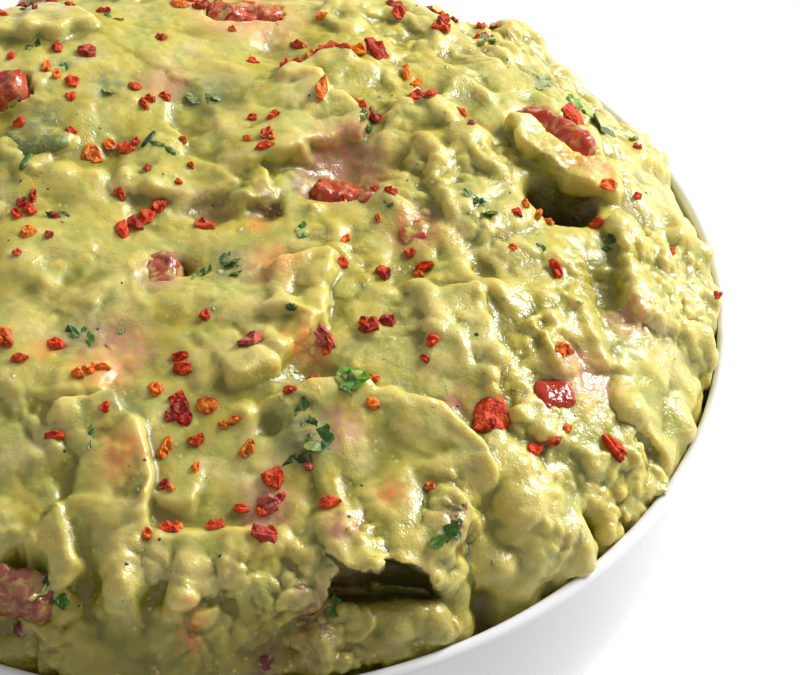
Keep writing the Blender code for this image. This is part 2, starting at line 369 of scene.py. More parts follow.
def make_glaze():
    look = Finish("white_glaze")
    pooling = look.noise(30 * MM, detail=2)
    white = look.ramp(pooling, (0.35, (0.75, 0.755, 0.772)), (0.65, (0.81, 0.81, 0.816)))
    wave = look.noise(9 * MM, detail=1)
    pin = look.noise(0.7 * MM, detail=2)
    flow = look.bump(wave, 0.05 * MM, 0.5)
    look.set(Base_Color=white, Normal=look.bump(pin, 0.01 * MM, 0.25, under=flow))
    look.set(Roughness=look.math("MULTIPLY_ADD", pooling, 0.08, 0.16))
    look.set(Coat_Weight=0.5)
    look.set(Coat_Roughness=0.06)
    look.lets_light_in(0.15, (1, 0.95, 0.9), 1.5 * MM)
    return look.material


wear(bowl, make_glaze())
hand_over(bowl, "bowl")

# %% [markdown]
# ## The heap of guacamole
#
# Mashed avocado keeps the shape that the spoon gives it. The spoon lays down a smooth
# smear that ends in a raised lip where it was lifted, the lip often leans over its own
# shadow, and where the mash was only pushed it breaks into lumps. So the heap is built in
# the same order: a plain dome, then lips, hollows and mounds placed one by one, then lumps
# that swell out of the skin, strongest where no spoon has smoothed them.
#
# A grid is laid over a round plan so that all its cells stay about the same size. The
# lips are curves through a few points in millimetres, with the raised side on the left of
# the way the points go. Vertex moves in code do this, because no operator draws a lip.

# %% Form of the heap
HEAP_RISE = 19.0 * MM
HEAP_POWER = 5.2
HEAP_REACH = 71.5 * MM
RIGHT_BULGE = 0.9 * MM
SHOULDER_PLACE = (-34.0 * MM, 28.0 * MM)
SHOULDER_RADIUS = 28.0 * MM
SHOULDER_RISE = 7.5 * MM
SHOULDER_EDGE = 70.0 * MM
SHOULDER_FADE = 12.0 * MM
HEAP_RADIUS = RIM_RADIUS - WALL - 0.3 * MM
HEAP_TUCK = 7.0 * MM
HEAP_GRID = 430
STREAK = 0.22 * MM


def smoothstep(low, high, value):
    """A soft step from 0 at low to 1 at high."""
    share = np.clip((value - low) / (high - low), 0, 1)
    return share * share * (3 - 2 * share)


def dome(x, y):
    """Height of the smooth heap above the rim."""
    out = np.hypot(x, y)
    reach = HEAP_REACH + RIGHT_BULGE * np.cos(np.arctan2(y, x))
    away = np.hypot(x - SHOULDER_PLACE[0], y - SHOULDER_PLACE[1]) / SHOULDER_RADIUS
    shoulder = SHOULDER_RISE * np.exp(-(away**2)) * np.clip((SHOULDER_EDGE - out) / SHOULDER_FADE, 0, 1)
    return HEAP_RISE * (1 - (out / reach) ** HEAP_POWER) + shoulder


def round_plan(points):
    """Lays a square of -1 to 1 over a disc of radius 1 with cells of even size."""
    u, v = points[:, 0], points[:, 1]
    wide = np.abs(u) >= np.abs(v)
    long_side = np.where(wide, u, v)
    short_side = np.where(wide, v, u)
    ratio = short_side / np.where(long_side == 0, 1, long_side)
    turn = np.where(wide, ratio * math.pi / 4, math.pi / 2 - ratio * math.pi / 4)
    return long_side * np.cos(turn), long_side * np.sin(turn)


def plan_noise(x, y, size, seed):
    """Soft random height from -1 to 1 over the plan, in patches of about one size."""
    lattice = np.random.default_rng(seed).uniform(-1, 1, (128, 128))
    u, v = x / size + 64, y / size + 64
    i, j = np.floor(u).astype(int), np.floor(v).astype(int)
    f, g = u - i, v - j
    f, g = f * f * (3 - 2 * f), g * g * (3 - 2 * g)
    i, j = i % 127, j % 127
    low = lattice[i, j] * (1 - f) + lattice[i + 1, j] * f
    high = lattice[i, j + 1] * (1 - f) + lattice[i + 1, j + 1] * f
    return low * (1 - g) + high * g


# %% [markdown]
# ### Lips, hollows and mounds
#
# Where the spoon left the mash it pulled up a thin lip. A lip could be extruded from a
# curve, but it has to run out softly into its smear, so it is written as a height over the
# plan instead. Each lip holds its points in millimetres, its rise, how far behind it the
# smear runs before it is level again, how wide the drop in front of it is, and how far it
# leans out. Hollows and mounds are soft spots: a place, a radius and a depth or height.

# %% Lips of the smears
LIPS = [
    ([(-3, 4.2), (3, 6), (8, 8.6), (12.4, 11.2), (16, 12.6), (18.4, 14.6), (18.8, 17), (16.8, 19.6),
      (13.6, 21.8), (12.5, 25), (14, 29)], 2.9, 13, 1.5, 1.2),
    ([(-15, 1.2), (-9, 0.3), (-4, -0.6), (0, 1.2), (2.4, 4)], 2.0, 10, 1.2, 0.7),
    ([(2.3, -4), (3, -0.6), (5, -0.2), (7.2, 0.6), (5.6, 3), (4.8, 6)], 1.6, 3.2, 0.9, 0.8),
    ([(-32, -17), (-26, -15.5), (-22, -17.4), (-18, -20), (-14, -22.8)], 1.3, 9, 2.6, 0.2),
    ([(-14.5, -21.2), (-11, -22), (-8, -21.3), (-3, -21.8), (3, -22.3), (9, -23), (13.5, -25.8)],
     1.0, 8, 2.6, 0.2),
    ([(14.6, -27), (15.3, -23), (15, -18), (15.6, -12.6), (12, -14.4), (7, -15.2)], 2.0, 7, 0.8, 0.7),
    ([(3, -36.5), (6, -34.5), (9.5, -31.5), (12, -28), (15, -25.5)], 2.0, 5, 0.9, 0.7),
    ([(-1, -37), (3, -34), (7, -31.5), (10, -29)], 0.9, 3, 0.9, 0.2),
    ([(36, -52), (36.2, -47), (35, -43), (32.5, -40.6), (29, -39.3), (25, -38.6), (21.6, -38.3),
      (19.6, -35.7), (16.5, -36.6), (12.8, -38.6), (10, -39.4), (7.6, -41)], 2.2, 9, 1.0, 0.7),
    ([(32.6, -57.6), (33.2, -54.5), (32.6, -51.5), (30.5, -50)], 1.6, 6, 1.2, 0.4),
    ([(15.5, -59.5), (19.5, -58.6), (22.5, -57.4), (26, -56.8), (30, -57.2), (32.5, -59)],
     2.8, 7, 1.2, 2.6),
    ([(10.5, -63), (14.5, -63), (17, -61.2), (20, -59.3), (23.6, -57.6)], 2.2, 4, 0.7, 0.8),
    ([(15.5, -60.5), (10, -58.4), (6, -57.6), (2, -57.9), (-3, -58.2), (-7.2, -58.6)],
     1.8, 7, 1.0, 0.4),
    ([(-6.3, -59), (-8, -56), (-7.3, -53), (-7.9, -50), (-9.2, -46), (-10.9, -42), (-12.8, -40),
      (-15, -40.4), (-17.5, -41.2), (-20, -43.2)], 2.4, 9, 1.0, 0.9),
    ([(-30, -50.5), (-25, -48.2), (-21, -46.2), (-18.5, -44.3)], 1.4, 8, 1.8, 0.3),
    ([(-8, -53), (-4, -53.4), (0, -53.7)], 1.1, 3, 0.8, 0.5),
    ([(-33, -34.5), (-24, -36), (-18, -37), (-12, -36.5)], 1.2, 7, 2.2, 0.2),
    ([(-33, -60.5), (-24, -61.2), (-20, -61.5), (-17, -60.3), (-14.6, -59)], 2.0, 7, 1.1, 0.7),
    ([(42.6, 20), (44.6, 14.5), (47, 10.8), (50, 8.4), (54, 6.8), (58, 6)], 3.4, 6, 0.9, 1.8),
    ([(57.3, 1), (58, -4), (58.3, -9), (58.6, -14), (59.5, -18)], 2.9, 7, 1.0, 0.9),
    ([(30, 15), (31.2, 8), (32.3, 2), (34, -3), (37, -5.6), (39.8, -8.4)], 2.0, 7, 1.4, 0.4),
    ([(38.6, -38), (37.8, -30), (37.2, -24), (35.5, -17)], 2.0, 6, 1.0, 0.4),
    ([(54.5, -31.2), (59, -31.7), (62, -33), (65, -36)], 2.0, 7, 1.0, 0.7),
    ([(43, -22), (46, -26), (48.5, -30)], 1.5, 3, 1.0, 0.3),
    ([(48, -16), (52, -21), (54, -27)], 1.4, 3, 1.0, 0.3),
    ([(41, -37), (45, -39), (50, -39), (53, -42)], 1.5, 5, 1.0, 0.4),
    ([(27, -16), (30, -21), (31, -27), (30, -33)], 1.3, 4, 1.2, 0.2),
    ([(23, 29), (17, 31.8), (12.5, 30.6), (9.6, 27), (9.8, 23)], 1.5, 8, 1.2, 0.4),
    ([(-29.5, 2.2), (-26.5, 4.2), (-23, 7), (-21.5, 10)], 1.4, 5, 0.9, 0.4),
    ([(36, 30), (33, 24), (28, 20), (24, 20)], 1.3, 5, 1.1, 0.3),
    ([(-62, -28), (-52, -31), (-44, -29), (-38, -24), (-37, -17)], 2.8, 11, 1.1, 1.0),
    ([(-60, 4), (-50, 0), (-41, 1), (-35, 7), (-34, 14)], 2.8, 12, 1.1, 1.0),
    ([(-44, 36), (-36, 31), (-27, 31), (-20, 36)], 2.4, 10, 1.1, 0.8),
    ([(-12, 56), (-3, 52), (7, 53), (14, 58)], 2.2, 9, 1.1, 0.7),
    ([(-57, -10), (-50, -14), (-42, -12)], 2.0, 7, 1.0, 0.7),
    ([(-48, -52), (-41, -49), (-36, -42), (-38, -36)], 2.2, 8, 1.1, 0.7),
    ([(28, 56), (20, 51), (14, 44), (20, 40)], 2.0, 8, 1.2, 0.6),
    ([(-36, 60), (-30, 52), (-20, 50), (-14, 44)], 2.4, 9, 1.2, 0.8),
    ([(-66, 22), (-56, 24), (-50, 32), (-52, 42)], 2.4, 9, 1.1, 0.8),
]

# %% Hollows and mounds
HOLLOWS = [
    ((18, 6), 6.5, 2.4), ((25.8, 8.5), 3.2, 1.8), ((14, 2), 3.0, 1.4), ((-4.6, -13.2), 1.8, 2.9),
    ((-3, -14.5), 5.0, 1.4), ((7.6, -2.6), 2.6, 2.2), ((-1, -2), 4.0, 1.0), ((13.2, -32), 3.6, 2.4),
    ((16.5, -33.5), 3.0, 1.2), ((49.0, 3.0), 3.4, 9.0), ((51.8, 3.2), 2.8, 7.0),
    ((46.6, 4.8), 2.4, 4.0), ((54.8, -11), 4.2, 2.4), ((55, -15), 2.4, 1.5), ((36.8, -50.5), 2.8, 2.6),
    ((34.4, -55.8), 2.8, 2.4), ((37, -60), 3.2, 3.0), ((16.6, -62.6), 1.1, 3.0),
    ((18.4, -62.4), 1.3, 4.4), ((20.4, -62.1), 1.5, 5.4), ((22.4, -61.8), 1.5, 5.6),
    ((24.4, -61.5), 1.5, 5.4), ((26.4, -61.2), 1.3, 4.8), ((28.2, -61), 1.2, 4.0),
    ((29.8, -60.8), 1.0, 3.0), ((12.4, -61), 2.2, 2.0), ((51.8, -47.5), 1.5, 4.0),
    ((52.6, -51), 1.5, 4.0), ((53, -54), 1.8, 4.0), ((47, -57), 3.2, 3.0), ((56, -44), 3.0, 1.6),
    ((0, -48), 9.0, 1.2), ((22, -47), 9.0, 1.4), ((-3.5, -56), 3.5, 0.7), ((4, -55.5), 4.0, 0.7),
    ((37.2, -13.5), 2.4, 1.8), ((27, 42), 4.0, 1.8), ((17, 43), 3.0, 1.2), ((7, 35), 3.5, 1.0),
    ((-16, 7.6), 2.4, 1.2), ((-32, 13.5), 3.0, 1.6), ((9, -42.5), 2.0, 1.4), ((-13.5, -62.5), 2.2, 1.6),
    ((-5, -64), 2.6, 1.6), ((3, -64.5), 3.0, 1.8), ((-46, 20), 5.0, 2.2), ((-44, -10), 4.0, 1.4),
    ((34, 37), 3.0, 1.0),
]

MOUNDS = [
    ((43, -51), 6.5, 2.6), ((49.6, -50), 2.6, 2.0), ((-9.6, -62), 3.6, 3.4), ((-22.5, 2.2), 3.2, 1.2),
    ((43.5, 50.5), 4.6, 4.2), ((69, 5), 4.5, 2.4), ((73, -4), 3.0, 1.8), ((5.6, -41), 1.8, 1.4),
    ((-18.6, -42), 1.9, 1.1), ((23.4, -19), 2.0, 1.3), ((17, -11.2), 2.0, 1.0),
    ((-17.5, 2.6), 1.8, 0.8), ((-13.4, 3), 1.4, 0.6), ((39, -18), 3.0, 1.2), ((58, -47), 5.0, 1.6),
    ((28, -63), 4.0, 1.4), ((20.5, -65.6), 2.4, 1.4), ((25.4, -65), 2.6, 1.6), ((5, -62), 3.0, 1.4),
    ((-52, -42), 8.0, 2.2), ((-60, 20), 8.0, 1.8), ((27, -53), 4.0, 0.8), ((10, -2), 2.0, 0.8),
    ((13.6, -2.5), 1.6, 1.2), ((40, -44), 3.0, 1.2), ((33, 46), 4.0, 1.5),
]

# %% Shape the skin


def curve_through(points, steps=6):
    """A smooth line through a lip's points, in metres."""
    ends = [points[0], *points, points[-1]]
    line = []
    for group in zip(ends, ends[1:], ends[2:], ends[3:]):
        a, b, c, d = (np.array(point, float) for point in group)
        for t in np.arange(steps) / steps:
            bend = (2 * a - 5 * b + 4 * c - d) * t**2 + (3 * b - a - 3 * c + d) * t**3
            line.append(0.5 * (2 * b + (c - a) * t + bend))
    line.append(np.array(points[-1], float))
    return np.array(line) * MM


def distance_to(line, x, y):
    """(signed distance, share of the way along, left normal) from each place to a line."""
    best = np.full(x.shape, 1e9)
    side = np.zeros(x.shape)
    along = np.zeros(x.shape)
    normal = np.zeros((*x.shape, 2))
    for i, (start, end) in enumerate(zip(line[:-1], line[1:])):
        step = end - start
        share = np.clip(((x - start[0]) * step[0] + (y - start[1]) * step[1]) / (step @ step), 0, 1)
        across_x = x - start[0] - share * step[0]
        across_y = y - start[1] - share * step[1]
        distance = np.hypot(across_x, across_y)
        nearer = distance < best
        best = np.where(nearer, distance, best)
        left = np.where(step[0] * across_y - step[1] * across_x < 0, -1.0, 1.0)
        side = np.where(nearer, left, side)
        along = np.where(nearer, (i + share) / (len(line) - 1), along)
        away = np.stack([across_x, across_y], axis=-1) * (left / np.maximum(distance, 1e-9))[:, None]
        normal[nearer] = away[nearer]
    return best * side, along, normal


def add_lips(x, y, height, lean):
    """Adds every lip's relief to height and its overhang to lean."""
    wobble_x = x + 0.8 * MM * plan_noise(x, y, 2.8 * MM, 11)
    wobble_x += 0.15 * MM * plan_noise(x, y, 1.2 * MM, 13)
    wobble_y = y + 0.8 * MM * plan_noise(x, y, 2.8 * MM, 12)
    wobble_y += 0.15 * MM * plan_noise(x, y, 1.2 * MM, 14)
    for number, (points, rise, run, drop, over) in enumerate(LIPS):
        line = curve_through(points)
        reach = 3.2 * run * MM
        near = (x > line[:, 0].min() - reach) & (x < line[:, 0].max() + reach)
        near &= (y > line[:, 1].min() - reach) & (y < line[:, 1].max() + reach)
        distance, along, normal = distance_to(line, wobble_x[near], wobble_y[near])
        ends = smoothstep(0, 0.12, along) * smoothstep(1, 0.88, along)
        ends *= 1 + 0.35 * plan_noise(along * 0.05, along * 0, 0.006, 30 + number)
        reach_left = np.maximum(distance, 0) / (run * MM)
        behind = np.exp(-reach_left) * smoothstep(3.2, 2.0, reach_left)
        front = np.exp(-((np.minimum(distance, 0) / (drop * MM)) ** 2))
        bead = 0.06 * np.exp(-(((distance - 0.5 * MM) / (0.8 * MM)) ** 2))
        height[near] += rise * MM * ends * (behind * front + bead)
        length = np.hypot(*np.diff(line, axis=0).T).sum()
        streak = plan_noise(distance, along * length / 9, 1.2 * MM, 60 + number)
        height[near] += STREAK * streak * ends * behind * smoothstep(0, 1.5 * MM, distance)
        crest = np.exp(-((distance / (1.2 * MM)) ** 2))
        lean[near] -= normal * (over * MM * ends * crest)[:, None]


def add_spots(x, y, height, spots, sign):
    """Adds soft round spots to height: mounds with sign 1, hollows with sign -1."""
    for (px, py), radius, depth in spots:
        away = np.hypot(x - px * MM, y - py * MM) / (radius * MM)
        height += sign * depth * MM * np.exp(-(away**2) * 1.4)


def heap_points(square):
    """The skin's points for the square grid, before any lumps."""
    disc_x, disc_y = round_plan(square)
    out = np.hypot(disc_x, disc_y)
    pull = (out - 0.5 * out**6 / 6) / (1 - 0.5 / 6)
    scale = HEAP_RADIUS * pull / np.where(out == 0, 1, out)
    x, y = disc_x * scale, disc_y * scale
    tuck = smoothstep(0.965, 1.0, out)
    z = dome(x, y) * (1 - tuck) - HEAP_TUCK * tuck

    step = 0.2 * MM
    slope_x = (dome(x + step, y) - dome(x - step, y)) / (2 * step)
    slope_y = (dome(x, y + step) - dome(x, y - step)) / (2 * step)
    normal = np.stack([-slope_x, -slope_y, np.ones_like(x)], axis=-1)
    normal /= np.linalg.norm(normal, axis=-1, keepdims=True)

    height = np.zeros_like(x)
    lean = np.zeros((len(x), 2))
    add_lips(x, y, height, lean)
    add_spots(x, y, height, HOLLOWS, -1)
    add_spots(x, y, height, MOUNDS, 1)
    height += 0.7 * MM * plan_noise(x, y, 9 * MM, 1) + 0.35 * MM * plan_noise(x, y, 4.5 * MM, 2)

    keep = (1 - tuck)[:, None]
    points = np.stack([x, y, z], axis=-1) + normal * (height[:, None] * keep)
    points[:, :2] += lean * keep
    points[:, 2] += RIM_Z
    return points


def make_skin():
    select_only()
    bpy.ops.mesh.primitive_grid_add(x_subdivisions=HEAP_GRID, y_subdivisions=HEAP_GRID, size=2)
    skin = named("guacamole_heap")
    set_points(skin, heap_points(get_points(skin)))
    return skin


def top_over_rim(piece):
    return round(float(get_points(piece)[:, 2].max() - RIM_Z) / MM, 1)


heap = make_skin()
print("skin points", len(heap.data.vertices), "top", top_over_rim(heap), "mm over the rim")

# %% [markdown]
# ### Fit it to the bowl and close it
#
# Below the lip the skin is pressed against the inside of the bowl, and above it the mash
# may climb on to the lip but not far past it. Then the skin's edge is extruded down
# inside the bowl and closed, so that the heap is one solid. A voxel remesh gives it faces
# of one size everywhere, so that the steep sides can carry lumps as fine as the top.

# %% Fit and close
LIP_CLEARANCE = 0.3 * MM
OVERHANG_RADIUS = RIM_RADIUS + 0.4 * MM
WALL_GAP = 0.1 * MM
EVEN_FACES = 0.46 * MM
CLOSING_LEVELS = (50 * MM, 35 * MM, 20 * MM, 9 * MM)


def press_into_bowl(points):
    radius = np.hypot(points[:, 0], points[:, 1])
    under = points[:, 2] - RIM_Z < LIP_CLEARANCE
    most = np.where(under, inner_radius(points[:, 2]) - WALL_GAP, OVERHANG_RADIUS)
    points[:, :2] *= np.minimum(1, most / np.maximum(radius, 1e-9))[:, None]
    return points


def close_underneath(piece):
    select_only(piece)
    bpy.ops.object.mode_set(mode="EDIT")
    bpy.ops.mesh.select_mode(type="EDGE")
    bpy.ops.mesh.select_all(action="DESELECT")
    bpy.ops.mesh.select_non_manifold()
    height = RIM_Z - HEAP_TUCK
    for level in CLOSING_LEVELS:
        bpy.ops.mesh.extrude_edges_move()
        share = float(inner_radius(level) - WALL_GAP) / float(inner_radius(height) - WALL_GAP)
        bpy.ops.transform.resize(value=(share, share, 1), center_override=(0, 0, height))
        bpy.ops.transform.translate(value=(0, 0, level - height))
        height = level
    bpy.ops.mesh.edge_face_add()
    bpy.ops.mesh.select_all(action="SELECT")
    bpy.ops.mesh.quads_convert_to_tris()
    bpy.ops.object.mode_set(mode="OBJECT")


set_points(heap, press_into_bowl(get_points(heap)))
close_underneath(heap)
even_out(heap, EVEN_FACES)
apply_all(heap)
print("even faces", len(heap.data.polygons))

# %% [markdown]
# ### Lumps and grain
#
# Mash breaks into rounded lumps with creases between them. Squared distance to the nearest
# of many scattered points, turned upside down, has just that shape. Each round of lumps
# moves the skin along its own normals, big lumps first, so that small ones sit on the big
# ones and creases can fold under. On the right the mash was dragged towards the lip, so
# the lumps there are drawn out that way. Smears are held back from all of this.

# %% Where it is lumpy and where it is smooth
# Places in millimetres and radii that a spoon has smoothed.
SMOOTH_PATCHES = [
    ((2, 17), 14), ((-16, 24), 13), ((-19, -9), 11), ((-8, -16), 7), ((5, -19), 8), ((11, -24), 5),
    ((-24, -27), 8), ((-8, -30), 7), ((20, -47), 10), ((28, -46), 5), ((-17, -53), 9), ((2, -48), 7),
    ((1, -56), 6), ((58, -26), 6), ((50, -4), 5), ((24, -9), 3), ((8, 40), 9), ((30, -34), 5),
    ((-50, -20), 12), ((-48, 8), 10), ((-34, 40), 12), ((-20, 58), 8), ((-40, -44), 8),
]


def lumpiness(x, y):
    """From 0 on a smooth smear to 1 where the mash is only heaped."""
    out = np.hypot(x, y)
    drift = 6 * MM * plan_noise(x, y, 7 * MM, 21)
    rough = 0.12 + 0.62 * smoothstep(12 * MM, 32 * MM, x + drift)
    rough = np.maximum(rough, smoothstep(54 * MM, 66 * MM, out + 0.6 * drift))
    rough = np.maximum(rough, 0.6 * smoothstep(0.1, 0.7, plan_noise(x, y, 17 * MM, 22)))
    for (px, py), radius in SMOOTH_PATCHES:
        away = np.hypot(x - px * MM, y - py * MM) / (radius * MM)
        rough *= 1 - 0.85 * np.exp(-(away**4))
    return np.clip(rough, 0, 1)


print("smooth patches", len(SMOOTH_PATCHES))

# %% Lumps
LUMP_CELLS = 64
# How far apart the lumps are, how high, their seed, how sharp, how much is left in a smear,
# and how high they are on the outer slope.
LUMP_ROUNDS = [
    (5.8, 3.0, 74, 4.5, 0.14, 2.9),
    (2.9, 1.45, 72, 5.5, 0.15, 1.8),
    (1.5, 0.85, 73, 7.0, 0.25, 1.0),
]
LUMP_LEVEL = 0.40
FINEST_LUMPS = 1.5
PULL_TURN = -56
PULL_STRETCH = 2.4
DEEP_HOLLOW = 2.9


def lump_field(places, size, seed, soft=9.0):
    """Rounded lumps packed in space: low in the creases, up to 1 on top of the tallest."""
    chance = np.random.default_rng(seed)
    spots = chance.uniform(0.15, 0.85, (LUMP_CELLS, LUMP_CELLS, LUMP_CELLS, 3))
    tall = chance.uniform(0.3, 1.0, (LUMP_CELLS, LUMP_CELLS, LUMP_CELLS))
    grid = places / size + 5 * LUMP_CELLS
    corner = np.floor(grid).astype(int)
    total = np.zeros(len(places))
    weight = np.full(len(places), 1e-9)
    for step in np.ndindex(3, 3, 3):
        cell = corner + np.array(step) - 1
        inside = tuple((cell % LUMP_CELLS).T)
        away = ((grid - cell - spots[inside]) ** 2).sum(axis=1)
        share = np.exp(-soft * away)
        total += share * tall[inside]
        weight += share
    return total / weight * np.clip(1 + np.log(weight) / soft, 0, 1)


def stirred(points, seed):
    """Places pushed about a little, so that no two lumps are alike."""
    x, y, z = points.T
    stir = 1.2 * MM
    moved = points.copy()
    moved[:, 0] += stir * plan_noise(x + z, y, 3.5 * MM, seed)
    moved[:, 1] += stir * plan_noise(x, y + z, 3.5 * MM, seed + 1)
    moved[:, 2] += stir * plan_noise(x - z, y - z, 3.5 * MM, seed + 2)
    return moved


def drawn_out(places, turn_deg, stretch):
    """Places turned and squeezed one way, which draws lumps out that way."""
    turned = places @ np.array(Matrix.Rotation(math.radians(turn_deg), 3, "Z"))
    turned[:, 0] /= stretch
    return turned


def swell(piece, amount):
    """Moves each point along its own normal."""
    set_points(piece, get_points(piece) + get_normals(piece) * amount[:, None])


def hole_share(x, y, wider=1.0):
    """From 0 to 1 in the deep hollows, which stay open and are painted with dark shade."""
    deep = np.zeros_like(x)
    holes = [(place, radius * wider, depth) for place, radius, depth in HOLLOWS if depth > DEEP_HOLLOW]
    add_spots(x, y, deep, holes, 1)
    return np.clip(deep / (4.5 * MM), 0, 1)


def lump_skin(piece):
    """Swells the skin into lumps, one round after another."""
    plain = get_points(piece)
    x, y, z = plain.T
    free = smoothstep(RIM_Z - 4 * MM, RIM_Z - 1 * MM, z) * (1 - 0.9 * hole_share(x, y, 1.3))
    rough = lumpiness(x, y)
    places = stirred(plain, 51)
    pulled = smoothstep(14 * MM, 26 * MM, x) * (1 - smoothstep(60 * MM, 68 * MM, np.hypot(x, y)))
    pulled_places = drawn_out(places, PULL_TURN, PULL_STRETCH)
    outer = smoothstep(57 * MM, 65 * MM, np.hypot(x, y))
    for size, height, seed, soft, low, outer_height in LUMP_ROUNDS:
        height += (outer_height - height) * outer
        field = lump_field(places, size * MM, seed, soft) - LUMP_LEVEL
        if size > FINEST_LUMPS:
            pulled_field = lump_field(pulled_places, 0.85 * size * MM, seed + 9, soft) - LUMP_LEVEL
            field += (pulled_field - field) * pulled
        uneven = 0.25 + 1.35 * smoothstep(-0.55, 0.6, plan_noise(x, y, 6.5 * MM, seed + 40))
        swell(piece, MM * height * field * (low + (1 - low) * rough) * uneven * free)


lump_skin(heap)
print("lumped top", top_over_rim(heap), "mm over the rim")

# %% [markdown]
# ### Fine drift
#
# Even a smear is not quite level: oil and water draw the paste into soft ripples about a
# millimetre apart. Sculpting them would take long, so the last and finest relief is a
# cloud pattern on a Displace modifier, which is then applied.

# %% Fine drift
DRIFT_SIZE = 1.1 * MM
DRIFT_DEPTH = 0.10 * MM

drift = add_clouds(heap, "drift", DRIFT_SIZE, DRIFT_DEPTH)
drift.noise_depth = 1
apply_all(heap)
print("drift", round(DRIFT_DEPTH / MM, 2), "mm deep")

# %% [markdown]
# ### Press it in again and uncover the dice
#
# The lumps have pushed the skin about, so it is pressed back into the bowl. Where tomato
# shows, the skin is let down to just under the top of the die. Decimate then spends the
# triangles where the relief needs them.

# %% Uncover the dice and thin out
HEAP_TRIANGLES = 190000
BARE_DEPTH = 0.9 * MM
SKY = 200 * MM
DOWN = Vector((0, 0, -1))
# How far from each die's middle the paste is let down, in millimetres. One die is covered.
EXPOSED = {
    "tomato_a": 9.0, "tomato_b": 4.0, "tomato_c": 1.9, "tomato_d": 2.6,
    "tomato_e": 7.0, "tomato_f": 4.0, "tomato_g": 7.0, "tomato_h": 6.0,
}


def thin_out(piece, target):
    faces = len(piece.data.polygons)
    if faces > target:
        thinner = piece.modifiers.new("thin out", "DECIMATE")
        thinner.ratio = target / faces
        apply_all(piece)


def ray_tree(mesh):
    return BVHTree.FromPolygons([v.co for v in mesh.vertices], [f.vertices for f in mesh.polygons])


def bare_the_dice(points):
    """Lowers the skin to just under the top of each die, as far out as that die shows."""
    for node, reach in EXPOSED.items():
        tree = ray_tree(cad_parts[node].data)
        low, high = (Vector(corner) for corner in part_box(node))
        middle = (low + high) / 2
        away = np.hypot(points[:, 0] - middle.x, points[:, 1] - middle.y)
        for index in np.nonzero((away < reach * MM) & (points[:, 2] > RIM_Z - 2 * MM))[0]:
            start = Vector((*points[index, :2], SKY))
            hit = tree.ray_cast(start, DOWN)[0]
            if hit is not None:
                fade = 1 - smoothstep(0.8, 1.0, away[index] / (reach * MM))
                drop = max(0, points[index, 2] - (hit.z - BARE_DEPTH))
                points[index, 2] -= drop * fade
    return points


set_points(heap, bare_the_dice(press_into_bowl(get_points(heap))))
thin_out(heap, HEAP_TRIANGLES)
shade_smooth(heap)
print("heap faces", len(heap.data.polygons))

# %% [markdown]
# ### Stains and painted shade
#
# Where tomato lies just under the mash it shows through as a pink or orange stain, and
# herbs leave a grey-green one. A few spots are painted shade instead: deep olive under the
# ridge by the deep hole and in the groove on the right, and brown in the hollow round the
# die near the middle. A mask could be painted by hand; a short list of soft spots does the
# same and is easier to change. They are kept in a point attribute of the heap, which the
# material mixes in.

# %% Paint the stains and the shade spots
PINK, ORANGE, RUST = (0.62, 0.26, 0.18), (0.80, 0.30, 0.08), (0.16, 0.05, 0.02)
GREY_GREEN = (0.16, 0.20, 0.09)
# A painted shade colour for the hollows, not a stain of the mash.
HOLLOW_SHADE_OLIVE = (0.26, 0.235, 0.020)
STAINS_AND_SHADE = [
    ((-7.5, -16), 2.6, PINK), ((-1, -1.5), 2.6, RUST), ((7.6, -2), 2.2, RUST),
    ((5.8, -5.5), 1.6, ORANGE), ((8, -14), 3.2, ORANGE), ((-12, -29.5), 4.2, PINK),
    ((-10.4, -48), 2.6, ORANGE), ((-14, -33.5), 3.2, ORANGE), ((13.6, -29), 2.2, ORANGE),
    ((18.5, 9.5), 4.2, PINK), ((14, 4), 3.2, RUST), ((28.5, -6.5), 2.9, (0.66, 0.20, 0.10)),
    # The brown spot at (17.5, 5) is painted crevice shade in the hollow round the die.
    ((17.5, 5), 5.0, (0.30, 0.12, 0.07)), ((18.6, -57.4), 2.2, PINK), ((25, -52), 1.8, ORANGE),
    ((18.5, -43.5), 2.2, PINK), ((58, -17.5), 2.4, PINK), ((51.5, -29), 3.6, PINK),
    ((54, 11), 3.4, ORANGE), ((38, 16.5), 1.2, ORANGE), ((-0.5, -68.5), 1.6, ORANGE),
    ((15, -67), 2.4, RUST), ((9, -70.5), 2.2, RUST), ((33.4, -55.5), 1.8, RUST),
    ((-22, -30), 1.4, ORANGE), ((9, -54), 3.0, PINK), ((34, -37.5), 1.6, PINK), ((3, 43), 6.5, PINK),
    ((-9, 22.5), 2.6, PINK), ((-26, 11), 3.2, GREY_GREEN), ((13.8, -44.5), 3.2, GREY_GREEN),
    ((-17, -27.5), 3.0, GREY_GREEN), ((3.5, -14), 3.4, GREY_GREEN), ((-10.5, -40.5), 2.2, GREY_GREEN),
    ((-2, 20.5), 3.4, GREY_GREEN), ((-16.5, 19.8), 2.6, GREY_GREEN), ((47.8, 35), 2.4, GREY_GREEN),
    ((-24, 23.5), 1.6, GREY_GREEN), ((-50, -5), 3.0, PINK), ((-42, 30), 2.6, ORANGE),
    # The deep olive spots at the end are painted shade in the hollows.
    ((-30, 50), 3.4, PINK), ((-56, -30), 3.0, ORANGE), ((46.4, 8.4), 2.2, HOLLOW_SHADE_OLIVE),
    ((50.6, 8.2), 2.2, HOLLOW_SHADE_OLIVE), ((54.8, -9.5), 3.0, HOLLOW_SHADE_OLIVE), ((55, -14.5), 2.6, HOLLOW_SHADE_OLIVE),
]


